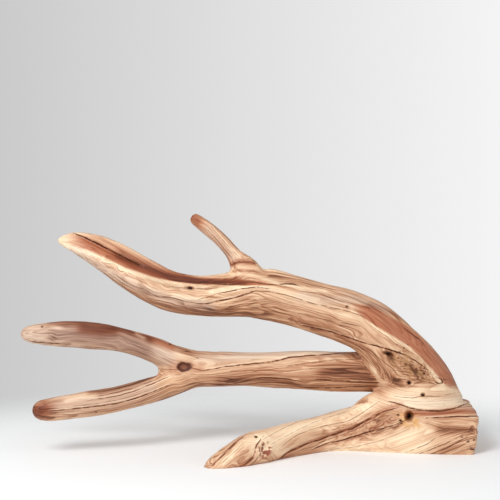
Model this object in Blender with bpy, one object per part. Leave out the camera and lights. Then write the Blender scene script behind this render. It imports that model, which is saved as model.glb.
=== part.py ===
"""A piece of driftwood: one polished root crown, cut flat underneath, whose limbs all reach left.

The main trunk arches up and over to a hollowed, pointed tip and carries a short twig. A second
limb leaves the back of the crown and forks into two blunt prongs. A low foot runs forward from
the crown along the ground, and a hidden heel behind it steadies the piece. It all grew as one
piece, so it is one closed solid.

Frame: +X to the right, +Y away from the viewer, +Z up, and the origin at the middle of the
bounding box's floor. The tables are in millimetres and degrees, from a drawing whose middle is
at DRAWING_MIDDLE. Marks on the near side are placed where they are seen from SIGHT, in pixels of
a 500 x 500 view, with y down.
"""

from math import cos, pi, radians, sin

import bmesh
import bpy
import numpy as np
from mathutils import Vector, noise

MM = 0.001
DRAWING_MIDDLE = (-1.5, -34.7, 0.0)  # where the middle of the bounding box's floor is drawn

# Each station of a limb: x, y, z of its middle, then half its thickness across the picture
# (rise) and towards the viewer (reach). The limbs start inside the crown and end at their tips.
ARCH = (
    (250, 1, 36, 58, 58), (243, 1, 60, 56, 55), (236, 0, 84, 52, 50), (222, 0, 111, 45, 44),
    (199, 0, 138, 41, 39), (174, 0, 164, 38, 37), (134, -2, 184, 37, 35), (93, -4, 196, 35, 33),
    (59, -6, 206, 35, 32), (25, -8, 214, 36, 31), (-8, -9, 216, 33, 30), (-42, -10, 214, 30, 29),
    (-75, -10, 215, 28, 28), (-109, -10, 221, 28, 27), (-142, -9, 236, 28, 25),
    (-170, -7, 252, 27, 23), (-196, -5, 268, 24, 21), (-222, -3, 281, 20, 18),
    (-246, -1, 289, 14, 14), (-271, 0, 291, 5, 9),
)
MIDDLE = (
    (262, 6, 52, 30, 26), (240, 18, 84, 32, 28), (208, 26, 99, 30, 28), (171, 25, 101, 29, 28),
    (128, 21, 102, 28, 27), (82, 16, 105, 27, 26), (37, 10, 106, 25, 25), (-8, 4, 107, 24, 24),
    (-50, -3, 108, 25, 24), (-78, -8, 110, 25, 23), (-100, -13, 109, 21, 18), (-129, -18, 109, 13, 10),
)
UPPER_PRONG = (
    (-56, -4, 112, 20, 20), (-86, -9, 118, 20, 20), (-110, -12, 126, 19, 20),
    (-131, -16, 137, 18, 18), (-153, -20, 146, 17, 17), (-175, -23, 153, 17, 16),
    (-197, -25, 158, 18, 16), (-220, -27, 161, 19, 16), (-242, -28, 163, 19, 15),
    (-264, -28, 163, 18, 14), (-290, -28, 163, 15, 13), (-320, -26, 162, 10, 9),
)
LOWER_PRONG = (
    (-56, -5, 104, 18, 19), (-80, -10, 101, 18, 19), (-98, -14, 95, 18, 18),
    (-120, -22, 88, 18, 17), (-142, -31, 83, 18, 17), (-164, -40, 79, 18, 16),
    (-185, -47, 75, 18, 16), (-207, -53, 72, 18, 16), (-228, -58, 70, 18, 15),
    (-250, -63, 67, 17, 15), (-274, -67, 64, 16, 14), (-299, -70, 63, 12, 11),
)
TWIG = (
    (26, -8, 203, 26, 20), (7, -7, 231, 22, 18), (-12, -4, 256, 18, 14), (-24, -2, 272, 11, 10),
    (-34, 0, 284, 10, 9), (-46, 2, 296, 10, 9), (-59, 4, 307, 10, 8), (-83, 7, 325, 8, 7),
)
FOOT = (
    (314.5, 0, 21, 34, 65), (290, 0, 24, 38, 64), (250, 0, 24, 38, 60), (205, 0, 24, 37, 54),
    (165, -1, 22, 34, 47), (125, -8, 20, 28, 36), (90, -26, 19, 24, 27), (60, -50, 18, 23, 25),
    (28, -78, 16, 22, 25), (2, -101, 15, 22, 25), (-16, -117, 10, 20, 22),
    (-32, -127, 4, 18, 19), (-47, -134, -2, 15, 16), (-62, -140, -5, 8, 10),
)
SHOULDER = (
    (238, -4, 66, 34, 34), (204, -7, 62, 24, 30), (171, -10, 56, 19, 23), (150, -12, 45, 14, 20),
    (126, -14, 35, 10, 15),
)
HEEL = (
    (262, 8, 30, 42, 42), (215, 22, 26, 37, 41), (182, 34, 16, 29, 38), (150, 45, 6, 22, 33),
    (118, 56, -5, 16, 25),
)

# Long hollows: x of the spine, then the angle of the near rim, of the far rim, and the depth.
TROUGH = (
    (-274, -70, 88, 0), (-262, -62, 90, 3), (-235, -46, 91, 9), (-205, -30, 91, 13),
    (-165, -6, 91, 16), (-125, 10, 91, 15), (-80, 20, 91, 11), (-30, 28, 90, 7),
    (15, 34, 88, 4), (80, 45, 82, 0),
)
FACET = (
    (120, 62, 74, 0), (150, 44, 74, 3), (180, 24, 70, 5), (205, 20, 76, 5), (228, 30, 86, 4),
    (242, 48, 92, 0),
)

# Marks on the near side follow a line in the view. Positive heights stand out.
# Ridges and furrows: the limbs they cross, their half width, their height and the line.
FURROWS = (
    (("arch",), 1.8, -3.5, ((77, 235), (95, 244), (115, 254), (128, 260), (142, 267))),
    (("arch",), 2.5, -1.5, ((116, 266), (126, 274), (137, 282))),
    (("arch",), 4.0, 1.8, ((100, 268), (130, 281), (160, 290), (190, 297), (216, 297))),
    (("arch",), 3.0, -1.6, ((123, 285), (143, 294), (171, 301), (205, 303), (247, 296))),
    (("arch",), 4.0, 1.5, ((214, 292), (236, 279), (256, 279), (284, 288))),
    (("arch",), 1.8, -2.0, ((315, 327), (340, 334), (357, 339), (377, 346), (394, 350), (414, 360))),
    (("arch",), 4.0, -1.4, ((250, 305), (285, 303), (320, 309), (352, 318))),
    (("foot", "arch"), 5.0, -3.0, ((277, 461), (299, 448), (336, 435), (354, 428), (371, 418), (391, 411))),
    (("foot", "arch"), 2.0, -1.5, ((312, 449), (343, 442), (362, 437), (380, 430), (398, 425))),
    (("foot", "arch"), 9.0, -2.5, ((431, 425), (446, 430), (462, 430), (475, 428))),
    (("foot",), 4.0, 1.6, ((252, 438), (285, 430), (325, 419), (360, 408))),
    (("middle",), 2.5, -1.8, ((300, 386), (330, 387), (380, 386))),
    (("middle",), 2.5, -1.5, ((240, 381), (275, 380), (310, 376), (372, 372))),
)
# Folds: one side stands proud at the line and eases back over the first size. It is the side
# below a line drawn to the right.
FOLDS = (
    (("arch", "shoulder"), 9.0, 2.5, ((383, 379), (394, 384), (409, 388), (422, 382), (434, 383))),
    (("arch", "foot"), 13.0, 4.0, ((476, 400), (466, 404), (452, 409), (430, 411), (409, 408), (392, 403))),
    (("foot", "arch"), 16.0, 1.6, ((426, 418), (438, 417), (457, 416), (478, 416))),
    (("arch",), 10.0, 1.4, ((340, 335), (367, 343), (394, 350), (414, 361), (422, 366))),
    (("middle",), 14.0, 1.8, ((190, 369), (230, 369), (280, 360), (320, 357), (352, 353))),
    (("foot",), 10.0, 1.8, ((213, 465), (223, 455), (232, 446), (243, 437))),
    (("foot",), 9.0, 2.2, ((241, 466), (249, 461), (254, 454), (256, 446), (260, 439))),
    (("foot", "arch"), 11.0, 2.0, ((432, 453), (444, 445), (455, 440), (465, 434), (474, 432))),
    (("twig",), 6.0, -1.2, ((229, 268), (238, 262), (256, 263))),
)
# Knots and holes: the limbs they lie in, their middle, half width and height in mm, the turn of
# their long side, their depth and how far the wood swells around them.
KNOTS = (
    (("arch",), (190, 288), (6.5, 3.2), 5, 5.0, 1.2),
    (("arch",), (388, 354), (7.0, 2.8), 20, 7.0, 1.0),
    (("arch",), (409, 383), (3.6, 3.6), 0, 5.0, 1.2),
    (("arch", "shoulder"), (423, 395), (3.4, 2.6), 0, 4.5, 1.0),
    (("arch", "foot", "shoulder"), (409, 416), (5.6, 6.4), 0, 14.0, 2.2),
    (("middle", "upper_prong", "lower_prong"), (183, 367), (7.5, 6.5), 0, 1.6, 1.2),
    (("foot",), (265, 450), (6.0, 8.0), 20, 1.8, 1.8),
    (("foot",), (256, 437), (2.6, 2.0), 0, 3.0, 0.6),
)
# Knots on the far side: limb, share of its length, angle, half sizes along and across, depth
# and swell.
FAR_KNOTS = (
    ("arch", 0.30, 205, (8, 6), 6.0, 1.6), ("arch", 0.58, 168, (6, 4), 4.0, 1.2),
    ("arch", 0.80, 215, (4, 3), 3.0, 0.8), ("middle", 0.55, 190, (8, 6), 2.0, 1.6),
    ("lower_prong", 0.55, 175, (4, 3), 2.5, 0.8), ("foot", 0.45, 160, (5, 4), 3.0, 1.0),
)
ROUGH_PATCH = ((409, 366), (34, 17), 32)  # the eroded hollow on the trunk: middle, mm, turn

SIGHT = np.array([0, -2191.6, 469.1])  # where the near side is seen from
SIGHT_DOWN = radians(5)
SIGHT_FAR = 2200  # mm from SIGHT to the middle of the view
PIXEL = 1.4  # mm of the driftwood in one pixel of the view
VIEW_MIDDLE = 250  # pixels

VOXEL = 2.2 * MM  # the size at which the limbs are fused
TRIANGLES = 11200  # what the fused body is thinned to, before it is cut flat
HOLLOW = 0.3  # shares of a radius over which the hollow between two limbs is eased
AROUND = 90  # columns of a limb's skin round its section
ROW = 3  # mm between rows of a limb's skin
LOBES = ((3, 47, 0.014), (5, 71, 0.009))  # swellings round a section, mm per radian of twist, size
SOFTENING = (("skin", 3), ("junctions", 24))  # rounds of smoothing for the whole skin and the hollows
SOFTENING_SHARE = 0.5
SHARPEST_SHADED = radians(50)

# Weathering along the grain: size across and along, then height, all in mm.
SWELLING = (22, 150, 2.2)
FURROWING = (8, 75, 1.0)
PITTING = (5, 14, 2.5)
PITTING_DEPTH = 1.5  # mm
WOOD_COLOUR = (0.62, 0.41, 0.25, 1)
WOOD_ROUGHNESS = 0.6


def smooth_through(stations, count):
    """The stations read off evenly from a smooth curve that passes through all of them."""
    rows = np.array(stations, float)
    step = np.linalg.norm(np.diff(rows[:, :3], axis=0), axis=1)
    along = np.concatenate([[0], np.cumsum(step)])
    slope = np.gradient(rows, along, axis=0)
    at = np.linspace(0, along[-1], count)
    i = np.clip(np.searchsorted(along, at, "right") - 1, 0, len(rows) - 2)
    span = (along[i + 1] - along[i])[:, None]
    f = (at - along[i])[:, None] / span
    start = (2 * f**3 - 3 * f**2 + 1) * rows[i] + (f**3 - 2 * f**2 + f) * span * slope[i]
    end = (3 * f**2 - 2 * f**3) * rows[i + 1] + (f**3 - f**2) * span * slope[i + 1]
    return start + end


def unit(rows):
    return rows / np.linalg.norm(rows, axis=1)[:, None]


def bell(distance):
    """1 at no distance, easing to nothing by about twice the unit."""
    return np.exp(-(distance**2))


class Limb:
    """A spine with an oval section. Angles run round it from the viewer's side, 90 at its top."""

    SAMPLES = 240

    def __init__(self, name, stations, caps=(14, 12), square=(2, 2), hollows=()):
        rows = smooth_through(stations, self.SAMPLES)
        self.name, self.caps, self.square, self.hollows = name, caps, square, hollows
        self.middle, self.rise, self.reach = rows[:, :3], rows[:, 3], rows[:, 4]
        step = np.linalg.norm(np.diff(self.middle, axis=0), axis=1)
        self.along = np.concatenate([[0], np.cumsum(step)])
        self.length = self.along[-1]
        self.forward = unit(np.gradient(self.middle, axis=0))
        self.side = unit(np.array([0, -1, 0]) + self.forward * self.forward[:, 1:2])
        self.up = np.cross(self.forward, self.side)

    def at(self, rows, along):
        """A value of the spine, or each of its columns, at these distances along."""
        if rows.ndim == 1:
            return np.interp(along, self.along, rows)
        return np.stack([np.interp(along, self.along, column) for column in rows.T], axis=1)

    def dip(self, along, angle):
        """How deep the limb's long hollows are here, in mm."""
        x = self.at(self.middle[:, 0], along)
        deep = np.zeros_like(x)
        for rows in self.hollows:
            places, near, far, depth = np.array(rows, float).T
            near, far = np.interp(x, places, near), np.interp(x, places, far)
            across = (np.degrees(angle) - near) % 360 / (far - near)
            deep += np.interp(x, places, depth) * np.sin(pi * np.clip(across, 0, 1)) ** 0.6
        return deep

    def section(self, along, angle):
        """How far the skin stands from the spine, as a share of the plain oval."""
        power = np.interp(along, (0, self.length), self.square)
        oval = (abs(np.cos(angle)) ** power + abs(np.sin(angle)) ** power) ** (-1 / power)
        for count, twist, size in LOBES:
            oval = oval * (1 + size * np.cos(count * angle + along / twist))
        oval = oval - self.dip(along, angle) / self.at(self.rise, along)
        for cap, left in zip(self.caps, (along, self.length - along)):
            into = np.clip(1 - left / cap, 0, 1)
            oval = oval * (1 - into**power) ** (1 / power)
        return oval

    def skin(self, along, angle):
        """Points of the skin at these distances along and angles round."""
        share = self.section(along, angle)
        across = self.at(self.reach, along) * share * np.cos(angle)
        over = self.at(self.rise, along) * share * np.sin(angle)
        spine = self.at(self.middle, along)
        side, up = self.at(self.side, along), self.at(self.up, along)
        return spine + across[:, None] * side + over[:, None] * up

    def locate(self, points):
        """Distance along the limb, angle round it and share of the oval's radius, per point."""
        gap = (self.middle**2).sum(1) - 2 * points @ self.middle.T
        i = gap.argmin(1)
        off = points - self.middle[i]
        ahead = (off * self.forward[i]).sum(1)
        across = (off * self.side[i]).sum(1) / self.reach[i]
        over = (off * self.up[i]).sum(1) / self.rise[i]
        along = self.along[i] + ahead
        past = np.clip(abs(along - self.length / 2) - self.length / 2, 0, None) / self.reach[i]
        return along, np.arctan2(over, across), np.sqrt(across**2 + over**2 + past**2)


def limbs():
    """Every limb by name."""
    made = (
        Limb("arch", ARCH, caps=(20, 16), hollows=(TROUGH, FACET)),
        Limb("middle", MIDDLE, caps=(20, 10)),
        Limb("upper_prong", UPPER_PRONG, caps=(20, 15)),
        Limb("lower_prong", LOWER_PRONG, caps=(20, 14)),
        Limb("twig", TWIG, caps=(14, 8)),
        Limb("foot", FOOT, caps=(8, 12), square=(4.6, 2)),
        Limb("shoulder", SHOULDER, caps=(12, 10)),
        Limb("heel", HEEL, caps=(20, 18)),
    )
    return {limb.name: limb for limb in made}


def mesh_points(mesh):
    co = np.empty(len(mesh.vertices) * 3)
    mesh.vertices.foreach_get("co", co)
    return co.reshape(-1, 3)


def mesh_normals(mesh):
    facing = np.empty(len(mesh.vertices) * 3)
    mesh.vertex_normals.foreach_get("vector", facing)
    return facing.reshape(-1, 3)


def add_limb(bm, limb):
    """A flat grid rolled up round the limb's spine, closed along its seam and at both ends."""
    rows = round(limb.length / ROW)
    sheet = bmesh.ops.create_grid(bm, x_segments=rows, y_segments=AROUND, size=0.5)["verts"]
    flat = np.array([v.co for v in sheet])
    rolled = limb.skin((flat[:, 0] + 0.5) * limb.length, (flat[:, 1] + 0.5) * radians(360))
    for vertex, point in zip(sheet, rolled):
        vertex.co = Vector(point) * MM
    bmesh.ops.remove_doubles(bm, verts=sheet, dist=0.02 * MM)


def apply_modifiers(obj):
    """The object's mesh with its modifiers applied, and the modifiers removed."""
    bpy.context.view_layer.update()
    mesh = bpy.data.meshes.new_from_object(obj.evaluated_get(bpy.context.evaluated_depsgraph_get()))
    obj.modifiers.clear()
    obj.data = mesh
    return mesh


def fused_body(name, wood):
    """One object holding every limb's skin, fused into a single closed surface."""
    bm = bmesh.new()
    for limb in wood.values():
        add_limb(bm, limb)
    bmesh.ops.recalc_face_normals(bm, faces=bm.faces)
    mesh = bpy.data.meshes.new(name)
    bm.to_mesh(mesh)
    bm.free()
    body = bpy.data.objects.new(name, mesh)
    bpy.context.collection.objects.link(body)
    fuse = body.modifiers.new("fuse the limbs", "REMESH")
    fuse.mode = "VOXEL"
    fuse.voxel_size = VOXEL
    apply_modifiers(body)
    return body


def ease_junctions(body, wood):
    """Relaxes the whole skin a little, and the hollows between limbs a great deal."""
    shares = np.sort([limb.locate(mesh_points(body.data) / MM)[2] for limb in wood.values()], axis=0)
    group = body.vertex_groups.new(name="junctions")
    for index, weight in enumerate(np.clip(1 - (shares[1] - shares[0]) / HOLLOW, 0, 1)):
        group.add([index], float(weight), "REPLACE")
    for name, rounds in SOFTENING:
        ease = body.modifiers.new(name, "SMOOTH")
        ease.factor, ease.iterations = SOFTENING_SHARE, rounds
        if name == group.name:
            ease.vertex_group = name
    apply_modifiers(body)


class Skin:
    """The points of the fused skin, each with its place on every limb and in the view."""

    SHARP = 14  # how sharply one limb's grain gives way to the next

    def __init__(self, points, normals, wood):
        self.points = points
        self.on = {name: limb.locate(points) for name, limb in wood.items()}
        shares = np.sort([place[2] for place in self.on.values()], axis=0)
        raw = {name: np.exp(-self.SHARP * (place[2] - shares[0])) for name, place in self.on.items()}
        total = sum(raw.values())
        self.weight = {name: value / total for name, value in raw.items()}
        off = points - SIGHT
        ahead = np.array([0, cos(SIGHT_DOWN), -sin(SIGHT_DOWN)])
        over = np.array([0, sin(SIGHT_DOWN), cos(SIGHT_DOWN)])
        scale = SIGHT_FAR / (off @ ahead) / PIXEL
        self.view = np.stack([VIEW_MIDDLE + off[:, 0] * scale, VIEW_MIDDLE - off @ over * scale], 1)
        towards = -(normals * unit(off)).sum(1)
        self.near = np.clip(towards * 5 + 0.5, 0, 1)
        self.open = np.clip(abs(shares[1] - shares[0]) / HOLLOW, 0, 1)
        self.grain = self.straightened(wood)

    def straightened(self, wood):
        """Where each point would lie if every limb were straight: across, over and along."""
        grain = np.zeros_like(self.points)
        for name, limb in wood.items():
            along, angle, share = self.on[name]
            radius = share * (limb.at(limb.rise, along) + limb.at(limb.reach, along)) / 2
            start = -limb.middle[0, 0]
            place = np.stack([radius * np.cos(angle), radius * np.sin(angle), start + along], 1)
            grain += self.weight[name][:, None] * place
        return grain

    def share_of(self, names):
        """How much of each point belongs to these limbs and faces the viewer."""
        return sum(self.weight[name] for name in names) * self.near

    def beside(self, line):
        """Distance across a line in the view and past its ends, in mm, and the share along it."""
        path = smooth_through(line, 10 * len(line))
        heading = unit(np.gradient(path, axis=0))
        gap = (path**2).sum(1) - 2 * self.view @ path.T
        i = gap.argmin(1)
        off = self.view - path[i]
        across = (heading[i, 0] * off[:, 1] - heading[i, 1] * off[:, 0]) * PIXEL
        ahead = (heading[i] * off).sum(1) * PIXEL
        past = np.where((i == 0) | (i == len(path) - 1), abs(ahead), 0)
        return across, past, i / (len(path) - 1)

    def around(self, middle, half, turn):
        """Distance from a spot in the view, in shares of its turned half sizes."""
        off = (self.view - middle) * PIXEL
        c, s = cos(radians(turn)), sin(radians(turn))
        return np.hypot((off[:, 0] * c + off[:, 1] * s) / half[0], (off[:, 1] * c - off[:, 0] * s) / half[1])

    def around_far(self, limb, share, angle, half):
        """Distance from a spot on a limb, in shares of its half sizes along and across."""
        along, here, _ = self.on[limb.name]
        turned = (here - radians(angle) + pi) % (2 * pi) - pi
        radius = limb.at(limb.reach, along)
        return np.hypot((along - share * limb.length) / half[0], turned * radius / half[1])


def knot_height(distance, depth, swell):
    """A hole with a swollen rim, by distance in shares of the hole's half sizes."""
    return swell * bell((distance - 1.5) / 0.7) - depth * np.clip(1.25 - distance, 0, 1) ** 0.5


def streaks(skin, across, along):
    """Noise stretched along the grain, by its size across and along in mm."""
    scaled = skin.grain / (across, across, along)
    return np.array([noise.noise(row) for row in scaled.tolist()])


def weathering(skin):
    """Broad swellings and fine furrows that follow the grain, in mm."""
    across, along, height = SWELLING
    broad = height * streaks(skin, across, along)
    across, along, height = FURROWING
    return broad + height * (0.3 - 2 * abs(streaks(skin, across, along)))


def taper(share):
    """How strong a line is at this share along it, fading at both ends."""
    return np.sin(pi * np.clip(share, 0.02, 0.98)) ** 0.4


def relief(skin, wood):
    """How far every point of the skin is moved out, in mm."""
    along, angle, _ = skin.on["arch"]
    smooth = np.clip(wood["arch"].dip(along, angle) / 2, 0, 1) * skin.weight["arch"]
    height = weathering(skin) * (1 - 0.8 * smooth) * (0.3 + 0.7 * skin.open)
    for names, half, rise, line in FURROWS:
        across, past, share = skin.beside(line)
        height += rise * taper(share) * bell(across / half) * bell(past / half) * skin.share_of(names)
    for names, ease, rise, line in FOLDS:
        across, past, share = skin.beside(line)
        step = np.exp(-abs(across) / ease) / (1 + np.exp(np.clip(-across * 2, -30, 30)))
        height += rise * taper(share) * step * bell(past / ease) * skin.share_of(names)
    for names, middle, half, turn, depth, swell in KNOTS:
        height += knot_height(skin.around(middle, half, turn), depth, swell) * skin.share_of(names)
    for name, share, angle, half, depth, swell in FAR_KNOTS:
        distance = skin.around_far(wood[name], share, angle, half)
        height += knot_height(distance, depth, swell) * skin.weight[name]
    patch = np.clip(1.3 - skin.around(*ROUGH_PATCH), 0, 1) * skin.share_of(("arch",))
    across, along, rise = PITTING
    return height + patch * (rise * streaks(skin, across, along) - PITTING_DEPTH)


def carve(body, wood):
    """Moves the skin out or in by its relief."""
    normals = mesh_normals(body.data)
    points = mesh_points(body.data) / MM
    skin = Skin(points, normals, wood)
    points += normals * relief(skin, wood)[:, None]
    body.data.vertices.foreach_set("co", ((points - DRAWING_MIDDLE) * MM).astype(np.float32).ravel())
    body.data.update()


def cut_flat(mesh):
    """Cuts the underside off level with the ground and closes the cut."""
    bm = bmesh.new()
    bm.from_mesh(mesh)
    bmesh.ops.bisect_plane(
        bm, geom=bm.verts[:] + bm.edges[:] + bm.faces[:], dist=0.05 * MM,
        plane_co=(0, 0, 0), plane_no=(0, 0, -1), clear_outer=True,
    )
    rim = [edge for edge in bm.edges if edge.is_boundary]
    bmesh.ops.triangle_fill(bm, use_beauty=True, edges=rim, normal=(0, 0, -1))
    bmesh.ops.recalc_face_normals(bm, faces=bm.faces)
    bm.to_mesh(mesh)
    bm.free()


def weathered_wood():
    material = bpy.data.materials.new("weathered wood")
    material.use_nodes = True
    finish = material.node_tree.nodes["Principled BSDF"].inputs
    finish["Base Color"].default_value = WOOD_COLOUR
    finish["Roughness"].default_value = WOOD_ROUGHNESS
    finish["Metallic"].default_value = 0
    return material


def main():
    for obj in list(bpy.data.objects):
        bpy.data.objects.remove(obj)
    wood = limbs()
    body = fused_body("driftwood", wood)
    ease_junctions(body, wood)
    carve(body, wood)
    thin = body.modifiers.new("thin", "DECIMATE")
    thin.ratio = TRIANGLES / (2 * len(body.data.polygons))
    cut_flat(apply_modifiers(body))
    body.data.materials.append(weathered_wood())
    body.data.shade_smooth()
    body.data.set_sharp_from_angle(angle=SHARPEST_SHADED)


main()
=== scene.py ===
"""A piece of driftwood on a plain pale floor under soft light.

The wood is one polished root crown, cut flat underneath, whose limbs all reach left: the trunk
arches over to a hollowed, pointed tip with a short twig, a second limb forks into two blunt
prongs, a low foot runs forward along the ground and a heel steadies it behind. The limb tables
are in millimetres and degrees, from a drawing whose middle is at DRAWING_MIDDLE. Marks on the
near side are placed where they are seen from SIGHT, in pixels of a 500 x 500 view, y down.
"""

from math import cos, pi, radians, sin

import bmesh
import bpy
import numpy as np
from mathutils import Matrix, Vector, noise


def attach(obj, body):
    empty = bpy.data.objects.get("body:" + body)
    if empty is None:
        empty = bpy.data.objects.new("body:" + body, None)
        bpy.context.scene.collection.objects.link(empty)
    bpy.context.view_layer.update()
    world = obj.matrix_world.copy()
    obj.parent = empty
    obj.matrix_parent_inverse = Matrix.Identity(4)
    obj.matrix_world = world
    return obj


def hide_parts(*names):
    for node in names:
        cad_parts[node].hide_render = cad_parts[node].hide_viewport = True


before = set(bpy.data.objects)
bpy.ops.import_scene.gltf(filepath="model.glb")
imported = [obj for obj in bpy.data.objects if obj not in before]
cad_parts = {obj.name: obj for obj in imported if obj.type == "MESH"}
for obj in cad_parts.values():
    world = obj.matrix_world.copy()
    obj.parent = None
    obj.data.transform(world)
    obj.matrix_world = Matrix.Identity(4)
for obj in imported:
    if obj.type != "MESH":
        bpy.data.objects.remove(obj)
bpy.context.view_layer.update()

MM = 0.001
DRAWING_MIDDLE = (-1.5, -34.7, 0.0)  # where the middle of the bounding box's floor is drawn

# Each station of a limb: x, y, z of its middle, then half its thickness across the picture
# (rise) and towards the viewer (reach). The limbs start inside the crown and end at their tips.
ARCH = (
    (250, 1, 36, 58, 58), (243, 1, 60, 56, 55), (236, 0, 84, 52, 50), (222, 0, 111, 45, 44),
    (199, 0, 138, 41, 39), (174, 0, 164, 38, 37), (134, -2, 184, 37, 35), (93, -4, 196, 35, 33),
    (59, -6, 206, 35, 32), (25, -8, 214, 36, 31), (-8, -9, 216, 33, 30), (-42, -10, 214, 30, 29),
    (-75, -10, 215, 28, 28), (-109, -10, 221, 28, 27), (-142, -9, 236, 28, 25),
    (-170, -7, 252, 27, 23), (-196, -5, 268, 24, 21), (-222, -3, 281, 20, 18),
    (-246, -1, 289, 14, 14), (-271, 0, 291, 5, 9),
)
MIDDLE = (
    (262, 6, 52, 30, 26), (240, 18, 84, 32, 28), (208, 26, 99, 30, 28), (171, 25, 101, 29, 28),
    (128, 21, 102, 28, 27), (82, 16, 105, 27, 26), (37, 10, 106, 25, 25), (-8, 4, 107, 24, 24),
    (-50, -3, 108, 25, 24), (-78, -8, 110, 25, 23), (-100, -13, 109, 21, 18), (-129, -18, 109, 13, 10),
)
UPPER_PRONG = (
    (-56, -4, 112, 20, 20), (-86, -9, 118, 20, 20), (-110, -12, 126, 19, 20),
    (-131, -16, 137, 18, 18), (-153, -20, 146, 17, 17), (-175, -23, 153, 17, 16),
    (-197, -25, 158, 18, 16), (-220, -27, 161, 19, 16), (-242, -28, 163, 19, 15),
    (-264, -28, 163, 18, 14), (-290, -28, 163, 15, 13), (-320, -26, 162, 10, 9),
)
LOWER_PRONG = (
    (-56, -5, 104, 18, 19), (-80, -10, 101, 18, 19), (-98, -14, 95, 18, 18),
    (-120, -22, 88, 18, 17), (-142, -31, 83, 18, 17), (-164, -40, 79, 18, 16),
    (-185, -47, 75, 18, 16), (-207, -53, 72, 18, 16), (-228, -58, 70, 18, 15),
    (-250, -63, 67, 17, 15), (-274, -67, 64, 16, 14), (-299, -70, 63, 12, 11),
)
TWIG = (
    (26, -8, 203, 26, 20), (7, -7, 231, 22, 18), (-12, -4, 256, 18, 14), (-24, -2, 272, 11, 10),
    (-34, 0, 284, 10, 9), (-46, 2, 296, 10, 9), (-59, 4, 307, 10, 8), (-83, 7, 325, 8, 7),
)
FOOT = (
    (314.5, 0, 21, 34, 65), (290, 0, 24, 38, 64), (250, 0, 24, 38, 60), (205, 0, 24, 37, 54),
    (165, -1, 22, 34, 47), (125, -8, 20, 28, 36), (90, -26, 19, 24, 27), (60, -50, 18, 23, 25),
    (28, -78, 16, 22, 25), (2, -101, 15, 22, 25), (-16, -117, 10, 20, 22),
    (-32, -127, 4, 18, 19), (-47, -134, -2, 15, 16), (-62, -140, -5, 8, 10),
)
SHOULDER = (
    (238, -4, 66, 34, 34), (204, -7, 62, 24, 30), (171, -10, 56, 19, 23), (150, -12, 45, 14, 20),
    (126, -14, 35, 10, 15),
)
HEEL = (
    (262, 8, 30, 42, 42), (215, 22, 26, 37, 41), (182, 34, 16, 29, 38), (150, 45, 6, 22, 33),
    (118, 56, -5, 16, 25),
)

# Long hollows: x of the spine, then the angle of the near rim, of the far rim, and the depth.
TROUGH = (
    (-274, -70, 88, 0), (-262, -62, 90, 3), (-235, -46, 91, 9), (-205, -30, 91, 13),
    (-165, -6, 91, 16), (-125, 10, 91, 15), (-80, 20, 91, 11), (-30, 28, 90, 7),
    (15, 34, 88, 4), (80, 45, 82, 0),
)
FACET = (
    (120, 62, 74, 0), (150, 44, 74, 3), (180, 24, 70, 5), (205, 20, 76, 5), (228, 30, 86, 4),
    (242, 48, 92, 0),
)

# Marks on the near side follow a line in the view. Positive heights stand out.
# Ridges and furrows: the limbs they cross, their half width, their height and the line.
FURROWS = (
    (("arch",), 1.8, -3.5, ((77, 235), (95, 244), (115, 254), (128, 260), (142, 267))),
    (("arch",), 2.5, -1.5, ((116, 266), (126, 274), (137, 282))),
    (("arch",), 4.0, 1.8, ((100, 268), (130, 281), (160, 290), (190, 297), (216, 297))),
    (("arch",), 3.0, -1.6, ((123, 285), (143, 294), (171, 301), (205, 303), (247, 296))),
    (("arch",), 4.0, 1.5, ((214, 292), (236, 279), (256, 279), (284, 288))),
    (("arch",), 1.8, -2.0, ((315, 327), (340, 334), (357, 339), (377, 346), (394, 350), (414, 360))),
    (("arch",), 4.0, -1.4, ((250, 305), (285, 303), (320, 309), (352, 318))),
    (("foot", "arch"), 5.0, -3.0, ((277, 461), (299, 448), (336, 435), (354, 428), (371, 418), (391, 411))),
    (("foot", "arch"), 2.0, -1.5, ((312, 449), (343, 442), (362, 437), (380, 430), (398, 425))),
    (("foot", "arch"), 9.0, -2.5, ((431, 425), (446, 430), (462, 430), (475, 428))),
    (("foot",), 4.0, 1.6, ((252, 438), (285, 430), (325, 419), (360, 408))),
    (("middle",), 2.5, -1.8, ((300, 386), (330, 387), (380, 386))),
    (("middle",), 2.5, -1.5, ((240, 381), (275, 380), (310, 376), (372, 372))),
)
# Folds: one side stands proud at the line and eases back over the first size. It is the side
# below a line drawn to the right.
FOLDS = (
    (("arch", "shoulder"), 9.0, 2.5, ((383, 379), (394, 384), (409, 388), (422, 382), (434, 383))),
    (("arch", "foot"), 13.0, 4.0, ((476, 400), (466, 404), (452, 409), (430, 411), (409, 408), (392, 403))),
    (("foot", "arch"), 16.0, 1.6, ((426, 418), (438, 417), (457, 416), (478, 416))),
    (("arch",), 10.0, 1.4, ((340, 335), (367, 343), (394, 350), (414, 361), (422, 366))),
    (("middle",), 14.0, 1.8, ((190, 369), (230, 369), (280, 360), (320, 357), (352, 353))),
    (("foot",), 10.0, 1.8, ((213, 465), (223, 455), (232, 446), (243, 437))),
    (("foot",), 9.0, 2.2, ((241, 466), (249, 461), (254, 454), (256, 446), (260, 439))),
    (("foot", "arch"), 11.0, 2.0, ((432, 453), (444, 445), (455, 440), (465, 434), (474, 432))),
    (("twig",), 6.0, -1.2, ((229, 268), (238, 262), (256, 263))),
)
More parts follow.
